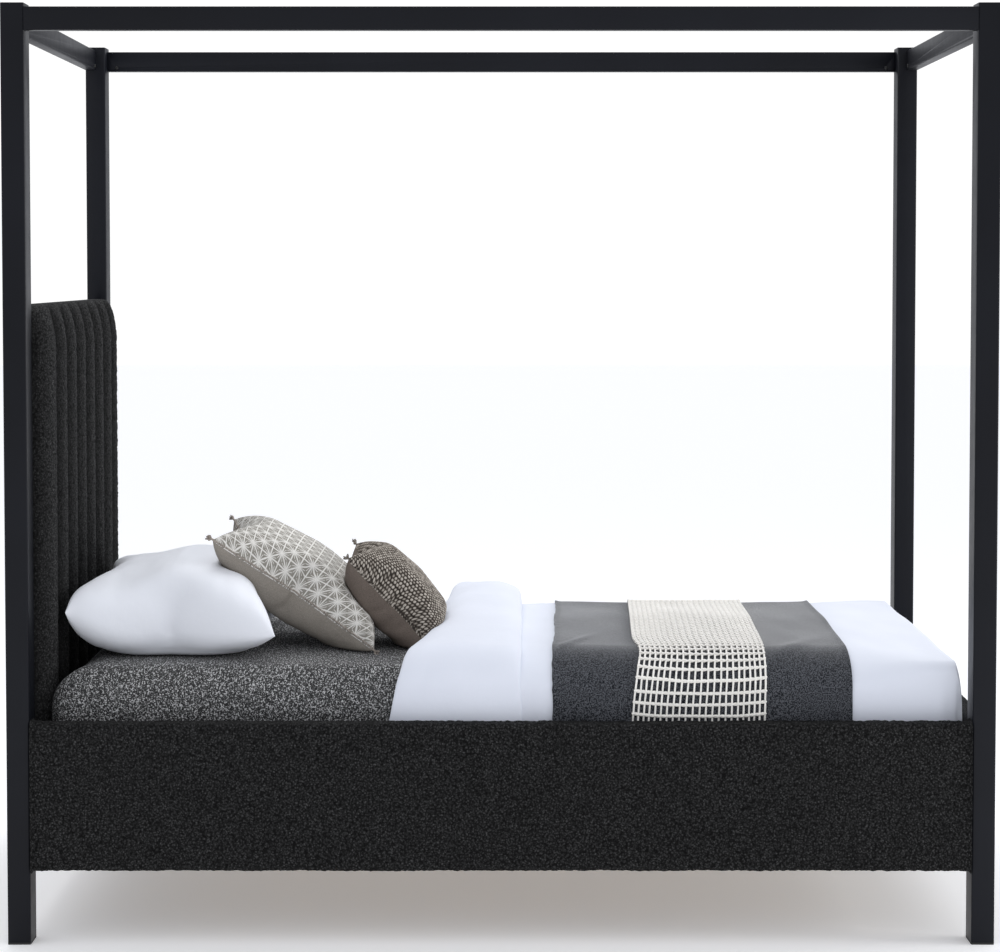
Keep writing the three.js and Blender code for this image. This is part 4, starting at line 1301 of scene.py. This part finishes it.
def tassel(corner, outward, seed):
    """Short looped yarns that stand out of a cushion's corner."""
    size, strands = 12 * MM, 9
    paths = []
    out = unit(outward)
    side = unit(np.cross(out, [0, 0, 1.0]))
    up = np.cross(out, side)
    t = np.linspace(0, 1, 12)[:, None]
    for k in range(strands):
        pick = hashed(np.array([[k, seed, j] for j in range(4)]), 5)
        angle = 2 * np.pi * pick[0]
        spread = size * (0.25 + 0.35 * pick[1])
        reach = size * (0.7 + 0.5 * pick[2])
        away = side * math.cos(angle) + up * math.sin(angle)
        loop = out * reach * np.sin(np.pi * t * 0.85) + away * spread * np.sin(np.pi * t)
        paths.append(corner - out * size * 0.15 + loop)
    return paths


def build_tassels(name, placed, panel, centre, finish, body, slot, seed):
    """A tuft on each of a cushion's four corners, which are the flat panel's corners."""
    paths = []
    for number, (sx, sy) in enumerate(itertools.product((-1, 1), repeat=2)):
        corner = placed[np.argmax(panel[:, 0] * sx + panel[:, 1] * sy)]
        paths += tassel(corner, corner - centre, seed + number)
    points, faces = tubes(paths, 1.3 * MM, 5)
    add_piece(name, points, faces, body, slot, finish)


def build_woven_cushion():
    """The small cushion, with its lower edge against the duvet's fold."""
    centre = np.array([-238, -103, 664]) * MM
    size = (0.140, 0.143, 0.078)
    points, faces, seam, panel = stuffed(0.150, 0.152, 0.055, 4.6 * MM, 7.0, 16)
    local = fit(smooth_points(points, faces, 3, seam), *size, 0.070, 0.85)
    placed = settle(tilted(local, math.radians(47), centre))
    placed = pushed_clear(placed, fold, (-0.6, 0, 0.8))
    piece = add_piece(
        "woven_cushion_cover", placed, faces, "woven_cushion", "cushion_weave"
    )
    keep_panel(piece, cloth_coordinates(local, panel, *size))
    knotted(piece, 9.6 * MM, 2.4 * MM)
    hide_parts("woven_cushion")
    trim = cushion_trim("woven_cushion_yarn", (0.05, 0.04, 0.035), (0.42, 0.38, 0.33))
    build_tassels(
        "woven_cushion_tufts", placed, panel, centre, trim, "woven_cushion", "cushion_weave", 81
    )
    return piece


def build_printed_cushion(woven):
    """The larger cushion, behind the woven one, with a cord along its seam."""
    centre = np.array([-451, -50, 690]) * MM
    size = (0.215, 0.217, 0.086)
    body, slot = "printed_cushion", "cushion_print"
    points, faces, seam, panel = stuffed(0.232, 0.234, 0.075, 5.5 * MM, 6.0, 18)
    local = fit(smooth_points(points, faces, 4, seam), *size, 0.080, 0.88)
    placed = settle(tilted(local, math.radians(34.4), centre))
    placed = pushed_clear(placed, woven, (-0.72, 0, -0.69))
    piece = add_piece("printed_cushion_cover", placed, faces, body, slot)
    keep_panel(piece, cloth_coordinates(local, panel, *size))
    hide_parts("printed_cushion")
    trim = cushion_trim("printed_cushion_cord", (0.20, 0.17, 0.15), (0.46, 0.41, 0.36))
    cord_along("printed_cushion_cord", placed, seam, trim, body, slot)
    build_tassels("printed_cushion_tufts", placed, panel, centre, trim, body, slot, 91)
    return subdivided(piece)


def build_pillow(printed):
    """The pillow, raised and thinner where it leans on the headboard, and dented by the printed
    cushion."""
    centre = np.array([-712, -55, 617]) * MM
    half_x = 0.234
    points, faces, seam, panel = stuffed(0.245, 0.375, 0.085, 7.0 * MM, 5.0, 20, bend=0.3)
    smooth = smooth_points(smooth_points(points, faces, 12), faces, 14, seam)
    local = fit(smooth, half_x, 0.330, 0.150, 0.066, 0.80)
    local = straightened(local, panel, seam, 0.345)
    sinking = np.clip(-local[:, 0] / half_x, 0, 1)
    local[:, 2] *= np.where(local[:, 2] > 0, 1 - 0.34 * sinking, 1)
    near_end = np.exp(-(((np.abs(local[:, 1]) - 0.34) / 0.06) ** 2))
    local[:, 2] += 0.004 * np.clip(-local[:, 2] / 0.02, 0, 1) * near_end
    wrinkle = 2.5 * MM * waves(local * [1, 0.6, 1], 0.08, 101)
    wrinkle += MM * waves(local * [1.5, 0.5, 1], 0.035, 102)
    local[:, 2] += wrinkle * np.clip(np.abs(local[:, 2]) / 0.05, 0, 1)
    placed = local + centre
    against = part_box("pillow")[0].x
    tucked = smooth_step((against + 0.17 - placed[:, 0]) / 0.17) ** 1.3
    placed[:, 2] += 50 * MM * tucked * np.clip(1 + local[:, 2] / 0.05, 0.2, 1)
    placed = pushed_clear(settle(placed), printed, (-0.565, 0, -0.825))
    clear = placed[:, 0] - against
    pressed = 0.03 * np.exp(clear / 0.03 - 1)
    placed[:, 0] = against + np.where(clear > 0.03, clear, pressed)
    placed[:, 2] = np.maximum(placed[:, 2], REST)
    piece = add_piece("pillow_case", placed, faces, "pillow", "white_cotton", BRIGHTER_CASE_COTTON)
    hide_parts("pillow")
    return subdivided(piece)


woven_cushion = build_woven_cushion()
printed_cushion = build_printed_cushion(woven_cushion)
build_pillow(printed_cushion)
